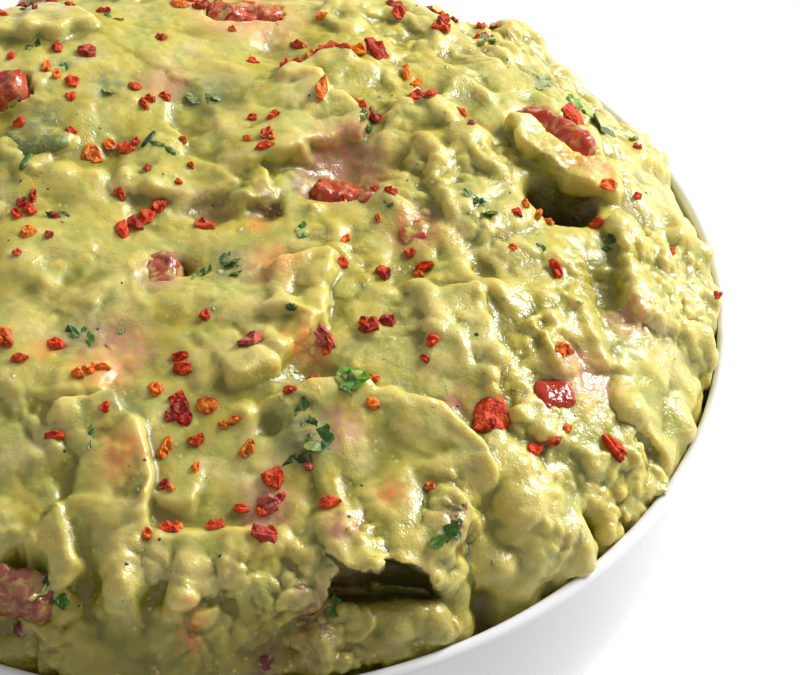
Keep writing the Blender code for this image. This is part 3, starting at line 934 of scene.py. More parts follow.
def paint_stains_and_shade(piece):
    """Keeps the colour of each point's stains and painted shade, with how strong it is in the alpha."""
    points = get_points(piece)
    colour = np.zeros((len(points), 4))
    total = np.zeros(len(points))
    ragged = 0.7 * MM * plan_noise(points[:, 0], points[:, 1], 0.9 * MM, 41)
    for (px, py), radius, tint in STAINS_AND_SHADE:
        away = (np.hypot(points[:, 0] - px * MM, points[:, 1] - py * MM) + ragged) / (radius * MM)
        share = np.exp(-np.maximum(0.8 * away, 0) ** 3)
        colour[:, :3] += share[:, None] * np.array(tint)
        total += share
    colour[:, :3] /= np.maximum(total, 1e-6)[:, None]
    colour[:, 3] = np.clip(total, 0, 1)
    tints = piece.data.attributes.new("stain_and_shade", "FLOAT_COLOR", "POINT")
    tints.data.foreach_set("color", colour.ravel())


paint_stains_and_shade(heap)
print("stains", len(STAINS_AND_SHADE))

# %% [markdown]
# ### Crests and creases
#
# Thin crests let more light through and look yellow; creases lie in shade and look olive
# and dark. Both are painted into the colour, a painted glow on the crests and painted
# shade in the creases. How far a point stands over the average of its neighbours tells one
# from the other, so that is kept as an attribute too. So are three more shares: where the
# skin is lumpy, where the deep holes and the slot at the front get painted near-black
# shade, and the low front edge, where painted shade makes the mash a deeper olive.

# %% Find crests and creases


def crest_height(piece, rounds):
    """How far each point stands proud of its surroundings."""
    points = get_points(piece)
    edges = np.empty(len(piece.data.edges) * 2, dtype=np.int64)
    piece.data.edges.foreach_get("vertices", edges)
    first, second = edges[::2], edges[1::2]
    count = np.bincount(edges, minlength=len(points))[:, None]
    smooth = points.copy()
    for _ in range(rounds):
        total = np.zeros_like(points)
        for axis in range(3):
            total[:, axis] += np.bincount(first, smooth[second, axis], minlength=len(points))
            total[:, axis] += np.bincount(second, smooth[first, axis], minlength=len(points))
        smooth = total / count
    return ((points - smooth) * get_normals(piece)).sum(axis=1)


def paint_relief(piece):
    """Keeps what the avocado material needs to know of the relief, and where it paints light and shade.
    """
    x, y, z = get_points(piece).T
    crest = crest_height(piece, 30)
    # Painted light and shade: this share paints a yellow glow on crests and olive shade in creases.
    add_share(piece, "crest", np.clip(0.5 + crest / (0.7 * MM), 0, 1))
    add_share(piece, "lumpy_skin", lumpiness(x, y))
    # Painted shade: the low front edge is painted a deeper olive, for the shade that falls there.
    front = smoothstep(-25 * MM, -50 * MM, y) * smoothstep(48 * MM, 22 * MM, x)
    add_share(piece, "painted_front_shade", smoothstep(11 * MM, 1 * MM, z - RIM_Z) * front)
    # Painted shade: the deep holes and the steep faces of the slot at the front are painted near-black.
    sunk = 1 - smoothstep(-0.2 * MM, 0.5 * MM, crest_height(piece, 90))
    deep = hole_share(x, y, 1.2) * sunk
    slot = hole_share(x, y, 2.2) * smoothstep(-54 * MM, -58 * MM, y)
    slot *= smoothstep(0.45, 0.15, get_normals(piece)[:, 2]) * smoothstep(36 * MM, 32 * MM, x)
    add_share(piece, "deep", np.maximum(deep, slot))
    print("crests", round(float(np.percentile(crest, 95)) / MM, 2), "mm proud")


paint_relief(heap)

# %% [markdown]
# ### Avocado
#
# Mashed avocado is a wet, oily paste that lets light in: thin lips glow yellow, shaded
# sides turn deep olive, and flat places look paler under their own sheen. Subsurface
# light does part of the glow, and the rest of this light and shade is painted into the
# colour: a painted yellow glow on crests, painted olive shade in creases and at the low
# front edge, and painted near-black shade in the deep holes. The base colour wanders
# between pale yellow-green and olive, with small pale and dark flecks of flesh. Fine
# bumps break the sheen into sparkles, mostly where the mash is lumpy, while the smears
# keep only a soft, streaky sheen.

# %% Avocado material
# The olive below is painted shade; the butter colour is pale flesh in the flecks and also a painted
# glow on crests; SHADE is painted near-black shade for the deep holes.
PASTE_FILM = (0.52, 0.42, 0.11)
SHADE_OLIVE, PASTE, BUTTER_AND_PAINTED_GLOW = (0.225, 0.195, 0.008), (0.550, 0.464, 0.092), (0.720, 0.584, 0.190)
GREENER, PALER = (0.430, 0.432, 0.100), (0.660, 0.558, 0.225)
DULLER, SHADE, SPECK = (0.485, 0.404, 0.047), (0.050, 0.040, 0.004), (0.16, 0.12, 0.03)


def avocado_colour(look):
    """Broad hue first, then a painted glow on crests and painted shade in creases and at
    the low front edge, then flecks, and last painted near-black shade in the deep holes.
    """
    broad = look.noise(12 * MM, detail=3, warp=0.6)
    paste = look.ramp(broad, (0.34, DULLER), (0.50, PASTE), (0.68, PALER))
    hue = look.noise(6 * MM, detail=3, warp=1.0, place=look.stretch((1, 1, 1), (0, 0, 40)))
    paste = look.mix(look.ramp(hue, (0.47, 0.0), (0.60, 0.8)), paste, GREENER)
    patch = look.noise(3.0 * MM, detail=4, warp=0.8)
    paste = look.mix(0.6, paste, look.ramp(patch, (0.32, 0.76), (0.56, 1.0)), blend="MULTIPLY")
    # Painted shade in the creases and a painted glow on the crests.
    crest = look.attribute("crest")
    paste = look.mix(look.ramp(crest, (0.04, 0.85), (0.40, 0.0)), paste, SHADE_OLIVE)
    paste = look.mix(look.ramp(crest, (0.58, 0.0), (1.0, 0.4)), paste, BUTTER_AND_PAINTED_GLOW)
    # Painted shade: olive at the low front edge.
    paste = look.mix(look.math("MULTIPLY", look.attribute("painted_front_shade"), 0.75), paste, SHADE_OLIVE)
    fleck = look.ramp(look.cells(1.2 * MM, "F1"), (0.14, 1.0), (0.30, 0.0))
    where = look.ramp(look.noise(4 * MM, detail=2), (0.5, 0.0), (0.62, 0.6))
    paste = look.mix(look.math("MULTIPLY", fleck, where), paste, BUTTER_AND_PAINTED_GLOW)
    speck = look.ramp(look.cells(2.6 * MM, "F1"), (0.03, 0.8), (0.06, 0.0))
    paste = look.mix(speck, paste, SPECK)
    # Painted shade: near-black in the deep holes and the slot.
    return look.mix(look.ramp(look.attribute("deep"), (0.25, 0.0), (0.75, 0.92)), paste, SHADE)


def add_stains_and_shade(look, paste):
    # Mixes in the real stains and the painted shade spots.
    stain_and_shade = look.node("ShaderNodeAttribute", attribute_name="stain_and_shade")
    mottle = look.ramp(look.noise(1.4 * MM, detail=3), (0.36, 0.30), (0.62, 1.0))
    share = look.math("MULTIPLY", look.math("MULTIPLY", stain_and_shade.outputs["Alpha"], mottle), 0.85)
    return look.mix(share, paste, stain_and_shade.outputs["Color"])


def wet_relief(look):
    """(normal, share that is wet): three sizes of bump, kept mostly to the lumpy places."""
    lumpy = look.attribute("lumpy_skin")
    patch = look.ramp(look.noise(4.5 * MM, detail=3), (0.46, 0.0), (0.62, 0.75))
    wet = look.math("MINIMUM", look.math("ADD", lumpy, patch), 1.0)
    keep = look.math("MULTIPLY_ADD", wet, 0.88, 0.12)
    soft = look.bump(look.noise(2.4 * MM, detail=1), 0.22 * MM, 0.8)
    crumb = look.math("MULTIPLY", look.noise(0.8 * MM, detail=2, warp=0.4), keep)
    crumbed = look.bump(crumb, 0.16 * MM, 1.0, under=soft)
    grain = look.math("MULTIPLY", look.noise(0.36 * MM, detail=1), keep)
    return look.bump(grain, 0.07 * MM, 1.0, under=crumbed), wet


def make_avocado():
    look = Finish("mashed_avocado")
    relief, wet = wet_relief(look)
    look.set(Base_Color=add_stains_and_shade(look, avocado_colour(look)), Normal=relief)
    dull = look.ramp(look.noise(2.4 * MM, detail=3), (0.35, 0.38), (0.65, 0.50))
    look.set(Roughness=look.math("MULTIPLY_ADD", wet, -0.06, dull))
    look.set(Coat_Weight=look.math("MULTIPLY_ADD", wet, 0.30, 0.09), Coat_Normal=relief)
    look.set(Coat_Roughness=0.11, IOR=1.48)
    look.lets_light_in(1.0, (1.0, 0.75, 0.20), 2.2 * MM)
    return look.material


AVOCADO = make_avocado()
wear(heap, AVOCADO)
hand_over(heap, "guacamole")

# %% [markdown]
# ## Setting things on the heap
#
# Everything mixed in or scattered is laid on the finished skin. A ray dropped on the heap
# gives the place and the slope there, and each bit is turned to that slope and sunk a
# little, as it is in the real thing, where nothing just touches the paste.

# %% Find the skin
SKIN = ray_tree(heap.data)


def skin_at(x_mm, y_mm):
    """(place, normal) of the skin under a plan place, the normal evened out a little."""
    place, normal = None, Vector()
    for dx, dy in ((0, 0), (0.9, 0), (-0.9, 0), (0, 0.9), (0, -0.9)):
        start = Vector(((x_mm + dx) * MM, (y_mm + dy) * MM, SKY))
        hit, slope, _, _ = SKIN.ray_cast(start, DOWN)
        if hit is None:
            continue
        place = place or hit
        normal += slope
    return place, normal.normalized()


def laid_on(x_mm, y_mm, turn_deg, tilt_deg, sink_mm, chance):
    """A matrix that lays a flat thing on the skin, turned, a little tilted and sunk."""
    place, normal = skin_at(x_mm, y_mm)
    if place is None:
        return None
    tilts = [chance.uniform(-tilt_deg, tilt_deg) for _ in range(2)]
    lean = Euler([math.radians(angle) for angle in (*tilts, turn_deg)])
    turn = normal.to_track_quat("Z", "Y").to_matrix().to_4x4()
    return Matrix.Translation(place - normal * sink_mm * MM) @ turn @ lean.to_matrix().to_4x4()


def copy_of(template, matrix, size, tint=None):
    """A copy with its own mesh, scaled and placed in the mesh, with its tint as an attribute."""
    piece = bpy.data.objects.new(template.name + "_copy", template.data.copy())
    bpy.context.scene.collection.objects.link(piece)
    piece.data.transform(matrix @ Matrix.Diagonal((*size, 1)))
    if tint:
        colours = piece.data.attributes.new("tint", "FLOAT_COLOR", "POINT")
        colours.data.foreach_set("color", np.tile((*tint, 1), (len(piece.data.vertices), 1)).ravel())
    return piece


def join_all(pieces, name, templates):
    """One piece out of all the copies; the templates have done their work and go."""
    select_only(*pieces)
    bpy.ops.object.join()
    joined = named(name)
    for template in templates:
        bpy.data.objects.remove(template)
    return joined


print("skin ready,", len(heap.data.polygons), "faces")

# %% [markdown]
# ## Tomato
#
# Each die in the frame is a cube of tomato: one side is skin, the rest is wet, grainy
# flesh. It could be made again from a cube, but a copy of the frame's own die keeps its
# size and turn. Remeshing it gives even faces, and two cloud displacements make it uneven,
# as a cut tomato slumps once it is salted.

# %% Shape the tomato pieces
# The side with skin on, how far the die has slumped, how much paste clings to it, and how
# brown it is.
TOMATO_LOOKS = {
    "tomato_a": ((0.3, -0.4, 1.0), 1.8, 0.5, 0.0), "tomato_b": ((-0.2, -0.6, 0.8), 2.4, 0.3, 0.0),
    "tomato_c": ((-1.0, -0.2, 0.2), 2.2, 0.8, 0.5), "tomato_d": ((0.0, -0.6, 1.0), 0.7, 0.0, 0.0),
    "tomato_e": ((-0.6, 0.2, 0.8), 1.8, 0.3, 0.0), "tomato_f": ((0.2, -0.3, -1.0), 2.0, 0.5, 0.85),
    "tomato_g": ((0.0, 1.0, 0.2), 2.2, 0.8, 0.0), "tomato_h": ((-0.5, 0.0, 1.0), 2.0, 0.6, 0.0),
    "tomato_i": ((1.0, 0.3, -0.3), 1.8, 1.0, 0.0),
}


TOMATO_FACES = 0.4 * MM
TOMATO_ROUNDING = 14
MERGE_DISTANCE = 0.02 * MM


def make_tomato(node, skin_side, slump, clinging, brown):
    piece = bpy.data.objects.new(node + "_piece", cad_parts[node].data.copy())
    bpy.context.scene.collection.objects.link(piece)
    select_only(piece)
    bpy.ops.object.mode_set(mode="EDIT")
    bpy.ops.mesh.select_all(action="SELECT")
    bpy.ops.mesh.remove_doubles(threshold=MERGE_DISTANCE)
    bpy.ops.object.mode_set(mode="OBJECT")
    even_out(piece, TOMATO_FACES)
    rounder = piece.modifiers.new("rounder", "SMOOTH")
    rounder.iterations = TOMATO_ROUNDING
    add_clouds(piece, node + " slump", 3.0 * MM, slump * MM)
    add_clouds(piece, node + " grain", 1.1 * MM, 0.35 * MM)
    apply_all(piece)
    shade_smooth(piece)
    facing = get_normals(piece) @ np.array(Vector(skin_side).normalized())
    add_share(piece, "skin_side", smoothstep(0.35, 0.7, facing))
    add_share(piece, "clinging", np.full(len(facing), clinging))
    add_share(piece, "brown", np.full(len(facing), brown))
    return piece


# %% [markdown]
# ### Tomato flesh and skin
#
# The skin is deep red and glassy. Flesh is paler, pink to orange, with white fibres and
# darker gel, and it lets light in. One material does both, with the share of skin kept
# as an attribute on each piece.

# %% Tomato material


def make_tomato_finish():
    look = Finish("wet_tomato")
    flesh = look.ramp(
        look.noise(1.8 * MM, detail=4, warp=0.8),
        (0.30, (0.22, 0.014, 0.006)),
        (0.46, (0.44, 0.050, 0.018)),
        (0.62, (0.56, 0.13, 0.050)),
        (0.78, (0.66, 0.32, 0.17)),
    )
    drawn = look.noise(0.9 * MM, detail=3, place=look.stretch((1, 0.25, 1), (0, 0, 30)))
    fibre = look.ramp(drawn, (0.55, 0.0), (0.70, 0.45))
    flesh = look.mix(fibre, flesh, (0.80, 0.60, 0.46))
    red = look.noise(2.5 * MM, detail=2)
    skin = look.ramp(red, (0.35, (0.30, 0.018, 0.005)), (0.65, (0.46, 0.042, 0.010)))
    share = look.attribute("skin_side")
    pitted = look.bump(look.noise(0.7 * MM, detail=3), 0.25 * MM, 0.7)
    body = look.mix(share, flesh, skin)
    body = look.mix(look.attribute("brown"), body, look.mix(0.75, body, (0.16, 0.085, 0.045)))
    film = look.ramp(look.noise(2.0 * MM, detail=4, warp=0.6), (0.50, 0.0), (0.62, 0.9))
    film = look.math("MULTIPLY", film, look.attribute("clinging"))
    look.set(Base_Color=look.mix(film, body, PASTE_FILM), Normal=pitted)
    look.set(Roughness=look.math("MULTIPLY_ADD", share, -0.06, 0.20))
    look.lets_light_in(0.7, (1.0, 0.25, 0.15), 1.6 * MM)
    return look.material


TOMATO = make_tomato_finish()
for node, looks in TOMATO_LOOKS.items():
    piece = make_tomato(node, *looks)
    wear(piece, TOMATO)
    hand_over(piece, node)

# %% [markdown]
# ## Crushed red chilli
#
# Chilli flakes are torn bits of dried skin: thin, crinkled, many-cornered and curled, from
# brick red to orange, with dark edges. A many-sided disc is pulled out of round, given a
# rim and a middle that stand at odd heights, and thickened. Four of these, stretched and
# turned, give every flake. A finer one could be sculpted, but there are more than two
# hundred, so each has only about fifty faces.

# %% Flake templates
FLAKE_SEED = 7
FLAKE_CORNERS = (7, 8, 9, 6)
FLAKE_THICKNESS = 0.20


def make_flake(number, corners, thickness):
    chance = random.Random(FLAKE_SEED + number)
    select_only()
    bpy.ops.mesh.primitive_circle_add(vertices=corners, radius=0.6, fill_type="NGON")
    flake = named("flake_%d" % number)
    bpy.ops.object.mode_set(mode="EDIT")
    bpy.ops.mesh.select_all(action="SELECT")
    bpy.ops.mesh.inset(thickness=0.26)
    bpy.ops.mesh.poke()
    bpy.ops.mesh.select_all(action="SELECT")
    bpy.ops.mesh.extrude_region_move(TRANSFORM_OT_translate={"value": (0, 0, thickness)})
    bpy.ops.mesh.select_all(action="SELECT")
    bpy.ops.mesh.normals_make_consistent(inside=False)
    bpy.ops.object.mode_set(mode="OBJECT")
    pulls = [chance.uniform(0.74, 1.10) for _ in range(corners)]
    rim = [chance.uniform(-0.20, 0.14) for _ in range(corners)]
    inside = [chance.uniform(-0.06, 0.30) for _ in range(corners)]
    for vertex in flake.data.vertices:
        x, y = vertex.co.x, vertex.co.y
        out = math.hypot(x, y)
        corner = round(math.atan2(y, x) / (2 * math.pi) * corners) % corners
        if out > 0.5:
            vertex.co.x *= pulls[corner]
            vertex.co.y *= pulls[corner]
            vertex.co.z += rim[corner]
        elif out > 0.01:
            vertex.co.z += inside[corner]
    return flake


flake_templates = [make_flake(i, corners, FLAKE_THICKNESS) for i, corners in enumerate(FLAKE_CORNERS)]
print("flake faces", [len(flake.data.polygons) for flake in flake_templates])

# %% [markdown]
# ### Where the flakes lie
#
# Each flake is (across, away, length, kind) in millimetres. A fifth number is how wide it
# is for its length, and a sixth is its turn. Kinds are r for brick red, o for orange, d for
# dark red, m for maroon and p for a pale-backed one.

# %% Flakes listed one by one
FLAKE_TINTS = {
    "r": (0.60, 0.052, 0.004), "o": (0.80, 0.190, 0.008), "d": (0.34, 0.014, 0.003),
    "m": (0.36, 0.035, 0.022), "p": (0.55, 0.13, 0.075),
}
FLAKES = [
    (38.3, -38.5, 6.0, "r", 0.85, 20), (37.2, -40.3, 3.0, "d", 0.7, -40),
    (39.8, -37.6, 3.0, "o", 0.6, 60), (22.5, 34.5, 4.2, "d", 0.7, 10), (20, 34, 2.4, "o"),
    (27, 30, 3.0, "o", 0.4, -40), (28.5, 27.5, 2.4, "o", 0.5, -60), (20, 18.7, 5.0, "r", 0.45, -15),
    (22.2, 17.8, 2.6, "d", 0.7, 0), (14.5, 20.5, 3.6, "o", 0.4, 20), (-13, -7.5, 2.6, "r", 0.7, 40),
    (-11.4, -5.8, 2.6, "d", 0.7, 40), (-9.8, -4, 3.0, "r", 0.7, 30), (-8.2, -2.2, 2.4, "r", 0.8, 50),
    (6, -30, 4.2, "p", 0.75, 60), (6.3, -29.2, 2.4, "m", 0.5, 60), (15.6, -27.6, 4.0, "p", 0.6, -55),
    (16.3, -28.6, 2.8, "r", 0.5, -60), (-3, -40, 3.0, "d", 0.8, 80), (-3.6, -38.4, 2.2, "r", 0.6, 60),
    (-2.4, -41.6, 2.2, "d", 0.7, 20), (-4.2, -41.2, 1.8, "m", 0.8, 0), (0.5, -39.5, 2.5, "o", 0.9, 0),
    (-6.5, -37, 2.2, "o", 0.7, 80), (-3.5, -31.5, 2.2, "r", 0.6, 70), (-3, -33.5, 2.4, "r", 0.7, 50),
    (-25, 27.5, 2.2, "r"), (-20.5, 27, 2.6, "m"), (-22, 19.5, 2.0, "r"), (-22, 16.5, 1.4, "r"),
    (-26, 22, 2.6, "o", 0.5, -30), (-24.4, 20.6, 2.0, "o", 0.5, -30), (-29, 11.5, 1.8, "r"),
    (-21.5, 10, 1.8, "r"), (-16, 9.5, 1.6, "o"), (-13.5, 9, 2.2, "r"), (-12.2, 10, 1.6, "r"),
    (-18.5, 7, 2.8, "o", 0.9, 10), (-13, 20.5, 2.0, "r"), (-11.5, 17, 1.8, "r", 0.5, 70),
    (-10.6, 18.4, 1.6, "r", 0.6, 70), (-8.5, 19.5, 1.8, "r", 0.6, 60), (-10, 3.5, 1.2, "r"),
    (-5.5, 10.5, 1.6, "o"), (-5.5, 1, 1.2, "r"), (-14, -0.5, 1.2, "r"), (-4, 5, 1.2, "r"),
    (4.5, 15, 1.4, "r"), (7.5, 15.5, 2.0, "r"), (6.8, 10.3, 2.6, "r", 0.6, 25),
    (7.6, 9.4, 2.0, "o", 0.5, 60), (6.6, 7, 2.8, "r", 0.45, 80), (4, 9.5, 1.4, "o", 0.5, 80),
    (-26, -2, 2.4, "r", 0.4, 80), (-26.4, -4.5, 2.4, "r", 0.6, 70), (-28, -5.5, 1.8, "r"),
    (-26, -9.5, 2.2, "o"), (-27.4, -3.2, 1.8, "d"), (-22.5, -5.5, 1.4, "d"), (-23, -10, 1.2, "m"),
    (-27, -14, 1.2, "r"), (-13.5, -1, 1.4, "r"), (-1.5, -5.5, 3.0, "r", 0.6, 30),
    (-0.5, -24.5, 1.8, "r"), (22.5, 1.8, 1.6, "r"), (24.8, 0.2, 2.2, "d"), (23, -4.5, 1.4, "o"),
    (18.5, -8.5, 1.6, "o"), (17.6, 1.6, 2.4, "r", 0.3, 85), (18, -13.5, 1.8, "r"), (24, -15, 2.4, "d"),
    (23.2, -14.2, 1.6, "r"), (27.5, -10.5, 1.6, "r"), (29.5, -13, 2.4, "r", 0.5, 60),
    (28.8, -14.4, 1.6, "o"), (22, -26, 3.0, "d", 0.8, 20), (21.2, -25, 1.8, "r"),
    (24.4, -24.6, 2.6, "d", 0.8, -20), (30.5, -29.5, 2.0, "r"), (29.5, -32, 1.4, "r"),
    (22.5, -35, 1.6, "r"), (14.5, -33.5, 2.2, "r"), (14, -34.4, 1.6, "o"), (11.5, -38.5, 2.0, "r"),
    (-28, -28, 3.4, "o", 0.8, 0), (-27.4, -28.8, 2.6, "r", 0.6, 10), (-20.5, -29, 2.5, "r", 0.8, 60),
    (-25, -32, 2.2, "r", 0.5, 0), (-17, -35.5, 2.0, "o", 0.6, -20), (-15.6, -34.8, 1.8, "o", 0.5, 10),
    (-14, -34, 2.4, "o", 0.35, 5), (-12.7, -42, 1.6, "r"), (-19.3, -45, 2.4, "r", 0.5, 10),
    (-4.5, -45.5, 2.6, "o", 0.5, 60), (-5.2, -46.6, 1.8, "o", 0.6, 40),
    (-0.8, -44.5, 2.2, "r", 0.6, 20), (2.7, -42.5, 1.4, "o"), (4.3, -42, 2.0, "o", 0.5, 60),
    (6, -46, 2.6, "o", 0.55, 70), (-0.7, -48.7, 1.8, "o", 0.5, 50), (9.5, -50, 2.8, "r", 0.9, 30),
    (5.5, -54, 1.8, "r"), (9, -53.5, 2.8, "p", 0.8, 0), (10.2, -52.8, 2.0, "m"), (8, -54.2, 1.8, "r"),
    (17, -53.7, 2.6, "r", 0.6, 75), (8.5, -58.5, 3.2, "m", 0.6, 40), (9.4, -57.6, 1.8, "r"),
    (-4.7, -51.3, 1.8, "d"), (-4, -51.9, 1.4, "o"), (-3.7, -57, 2.8, "r", 0.7, 0),
    (-2.9, -56.6, 1.8, "o"), (2.2, -56.7, 2.4, "r", 0.8, 0), (-6.5, -58.2, 2.0, "o", 0.7, 80),
    (14, -48.3, 1.4, "p"), (22.5, -40, 1.8, "o"), (30, -50.5, 1.6, "o"), (44, -42, 2.8, "r", 0.7, -30),
    (46.7, -41, 2.0, "r"), (48.5, -38.5, 1.6, "o"), (55, -38.5, 3.8, "r", 0.45, 85),
    (55.4, -39.4, 2.2, "d", 0.6, 70), (48, -27.5, 2.2, "o", 0.8, 0), (54.5, 0, 2.4, "r"),
    (56.5, 6, 2.2, "o"), (44, -0.5, 1.8, "o", 0.5, -20), (45.8, -1.4, 2.2, "o", 0.4, -20),
    (47.4, -2, 1.6, "o"), (42.8, -3, 1.8, "r"), (48, -12, 3.0, "r", 0.45, 75), (42, -9.5, 1.2, "o"),
    (61, 9, 1.4, "r"), (65.5, -1, 1.6, "r"), (72.5, -3.5, 1.8, "r"), (28.5, 22.5, 2.8, "r", 0.8, 40),
    (30.4, 21.2, 2.4, "r", 0.6, -20), (35.2, 19.2, 1.8, "r"), (36.5, 14.5, 1.2, "p"),
    (10.5, 31, 1.8, "m"), (12.6, 32.8, 2.6, "o", 0.5, 20), (15, 33.5, 3.4, "r", 0.5, 10),
    (17.6, 33.2, 2.4, "r", 0.6, -10), (9, 27.5, 1.8, "r"), (7.5, 43, 2.0, "r"), (14, 43, 1.8, "o"),
    (4, 29, 1.6, "r"), (-31.5, 25, 1.8, "r"), (49, -27, 1.6, "r"), (52, 24.5, 3.4, "r", 0.9, 30),
    (10.5, 35.8, 2.4, "r", 0.6, 30), (-6, 46, 1.8, "r"), (-4.5, 44, 2.6, "m", 0.7, 40),
    (-2.5, 45.8, 2.2, "r"), (-10, 33, 1.8, "r"), (0.5, 37, 1.4, "o"),
]

# %% [markdown]
# The rest of the heap gets the same spice at random, a little thinner. A particle system
# could scatter it, but random numbers from a fixed seed give the same bowl every time and
# need no viewport.

# %% Lay the flakes
SPARE_FLAKES, SPARE_LEAVES, SPARE_TOMATO, SPARE_ONION = 110, 34, 36, 24


def unplaced(x, y):
    """True on the far and left side, where no piece is listed."""
    return x < -34 or y > 48 - 0.45 * abs(x - 10)


def spare_places(count, seed):
    chance = random.Random(seed)
    places = []
    while len(places) < count:
        x, y = chance.uniform(-69, 69), chance.uniform(-69, 69)
        if math.hypot(x, y) < 68 and unplaced(x, y):
            places.append((x, y))
    return places


def lay_flakes():
    chance = random.Random(FLAKE_SEED)
    pieces = []
    extra = [
        (x, y, chance.uniform(1.2, 2.9), chance.choice("rrrodm"))
        for x, y in spare_places(SPARE_FLAKES, 5)
    ]
    for x, y, length, kind, *shape in FLAKES + extra:
        width = shape[0] if shape else chance.uniform(0.55, 0.95)
        turn = shape[1] if len(shape) > 1 else chance.uniform(0, 360)
        matrix = laid_on(x, y, turn, 16, -0.02 * length, chance)
        tint = [min(1, channel * chance.uniform(0.85, 1.2)) for channel in FLAKE_TINTS[kind]]
        size = (1.1 * length * MM, 1.1 * length * width * MM, (0.9 + 0.42 * length) * MM)
        pieces.append(copy_of(chance.choice(flake_templates), matrix, size, tint))
    return join_all(pieces, "chilli_flakes", flake_templates)


flakes = lay_flakes()

# %% [markdown]
# ### Chilli finish
#
# Dried chilli skin is waxy rather than wet. It is darker in its folds and its inner side
# is orange, so the tint wanders at about half a millimetre.

# %% Chilli material


def make_chilli_finish():
    look = Finish("dried_chilli")
    tint = look.attribute("tint", "Color")
    mottle = look.noise(0.8 * MM, detail=3, warp=0.4)
    dark = look.mix(look.ramp(mottle, (0.34, 0.75), (0.52, 0.0)), tint, (0.10, 0.006, 0.004))
    warm = look.mix(look.ramp(mottle, (0.54, 0.0), (0.70, 0.55)), dark, (0.74, 0.14, 0.02))
    look.set(Base_Color=warm, Normal=look.bump(look.noise(0.45 * MM, detail=3), 0.30 * MM, 1.0))
    look.set(Roughness=look.ramp(mottle, (0.3, 0.42), (0.7, 0.62)))
    look.set(IOR=1.36)
    look.lets_light_in(0.35, (1.0, 0.2, 0.1), 0.6 * MM)
    return look.material


wear(flakes, make_chilli_finish())
hand_over(flakes)

# %% [markdown]
# ## Coriander and green chilli
#
# Chopped coriander shows as small dark leaf bits, some lying flat on top and some pressed
# under a film of paste, and as short bits of stem. Green chilli and pepper show as thick
# pale strips. Leaf bits are lobed discs that are cupped; stems and strips are bent bars. A
# leaf could be a flat card with a pattern for its outline, but a card has no edge to catch
# the light and no body in the part's own mesh.

# %% Leaf and stem templates


def make_leaf(number, corners, depth):
    chance = random.Random(40 + number)
    select_only()
    bpy.ops.mesh.primitive_circle_add(vertices=corners, radius=0.5, fill_type="TRIFAN")
    leaf = named("leaf_%d" % number)
    bpy.ops.object.mode_set(mode="EDIT")
    bpy.ops.mesh.select_all(action="SELECT")
    bpy.ops.mesh.extrude_region_move(TRANSFORM_OT_translate={"value": (0, 0, 0.07)})
    bpy.ops.mesh.select_all(action="SELECT")
    bpy.ops.mesh.normals_make_consistent(inside=False)
    bpy.ops.object.mode_set(mode="OBJECT")
    for vertex in leaf.data.vertices:
        out = math.hypot(vertex.co.x, vertex.co.y)
        if out < 0.01:
            vertex.co.z -= 0.10
            continue
        turn = math.atan2(vertex.co.y, vertex.co.x)
        lobe = 1 - depth * (0.5 + 0.5 * math.cos(turn * 5 + number)) * (0.6 + 0.4 * math.cos(turn))
        vertex.co.x *= lobe
        vertex.co.y *= lobe
        vertex.co.z += 0.12 * math.sin(turn * 2 + number) + 0.05 * math.sin(turn * 7)
    return leaf


def make_stem(number, bend):
    select_only()
    bpy.ops.mesh.primitive_cylinder_add(vertices=8, radius=0.5, depth=1, rotation=(0, math.pi / 2, 0))
    stem = named("stem_%d" % number)
    place_in_mesh(stem)
    bpy.ops.object.mode_set(mode="EDIT")
    bpy.ops.mesh.select_all(action="SELECT")
    for share in (-0.3, -0.1, 0.1, 0.3):
        bpy.ops.mesh.select_all(action="SELECT")
        bpy.ops.mesh.bisect(plane_co=(share, 0, 0), plane_no=(1, 0, 0))
    bpy.ops.object.mode_set(mode="OBJECT")
    for vertex in stem.data.vertices:
        taper = 1 - 0.5 * abs(2 * vertex.co.x) ** 3
        vertex.co.y = vertex.co.y * taper + bend * (4 * vertex.co.x**2 - 0.5)
        vertex.co.z = vertex.co.z * taper
    shade_smooth(stem)
    return stem


leaf_templates = [make_leaf(i, corners, 0.36) for i, corners in enumerate((15, 18, 14))]
stem_templates = [make_stem(i, bend) for i, bend in enumerate((0.12, -0.10))]
for template in (leaf_templates[0], stem_templates[0]):
    print(template.name, len(template.data.polygons), "faces")

# %% Greens listed one by one
GREEN_TINTS = {
    "g": (0.040, 0.110, 0.010), "k": (0.018, 0.048, 0.007), "l": (0.080, 0.220, 0.014),
    "v": (0.150, 0.180, 0.055), "b": (0.035, 0.080, 0.022),
}
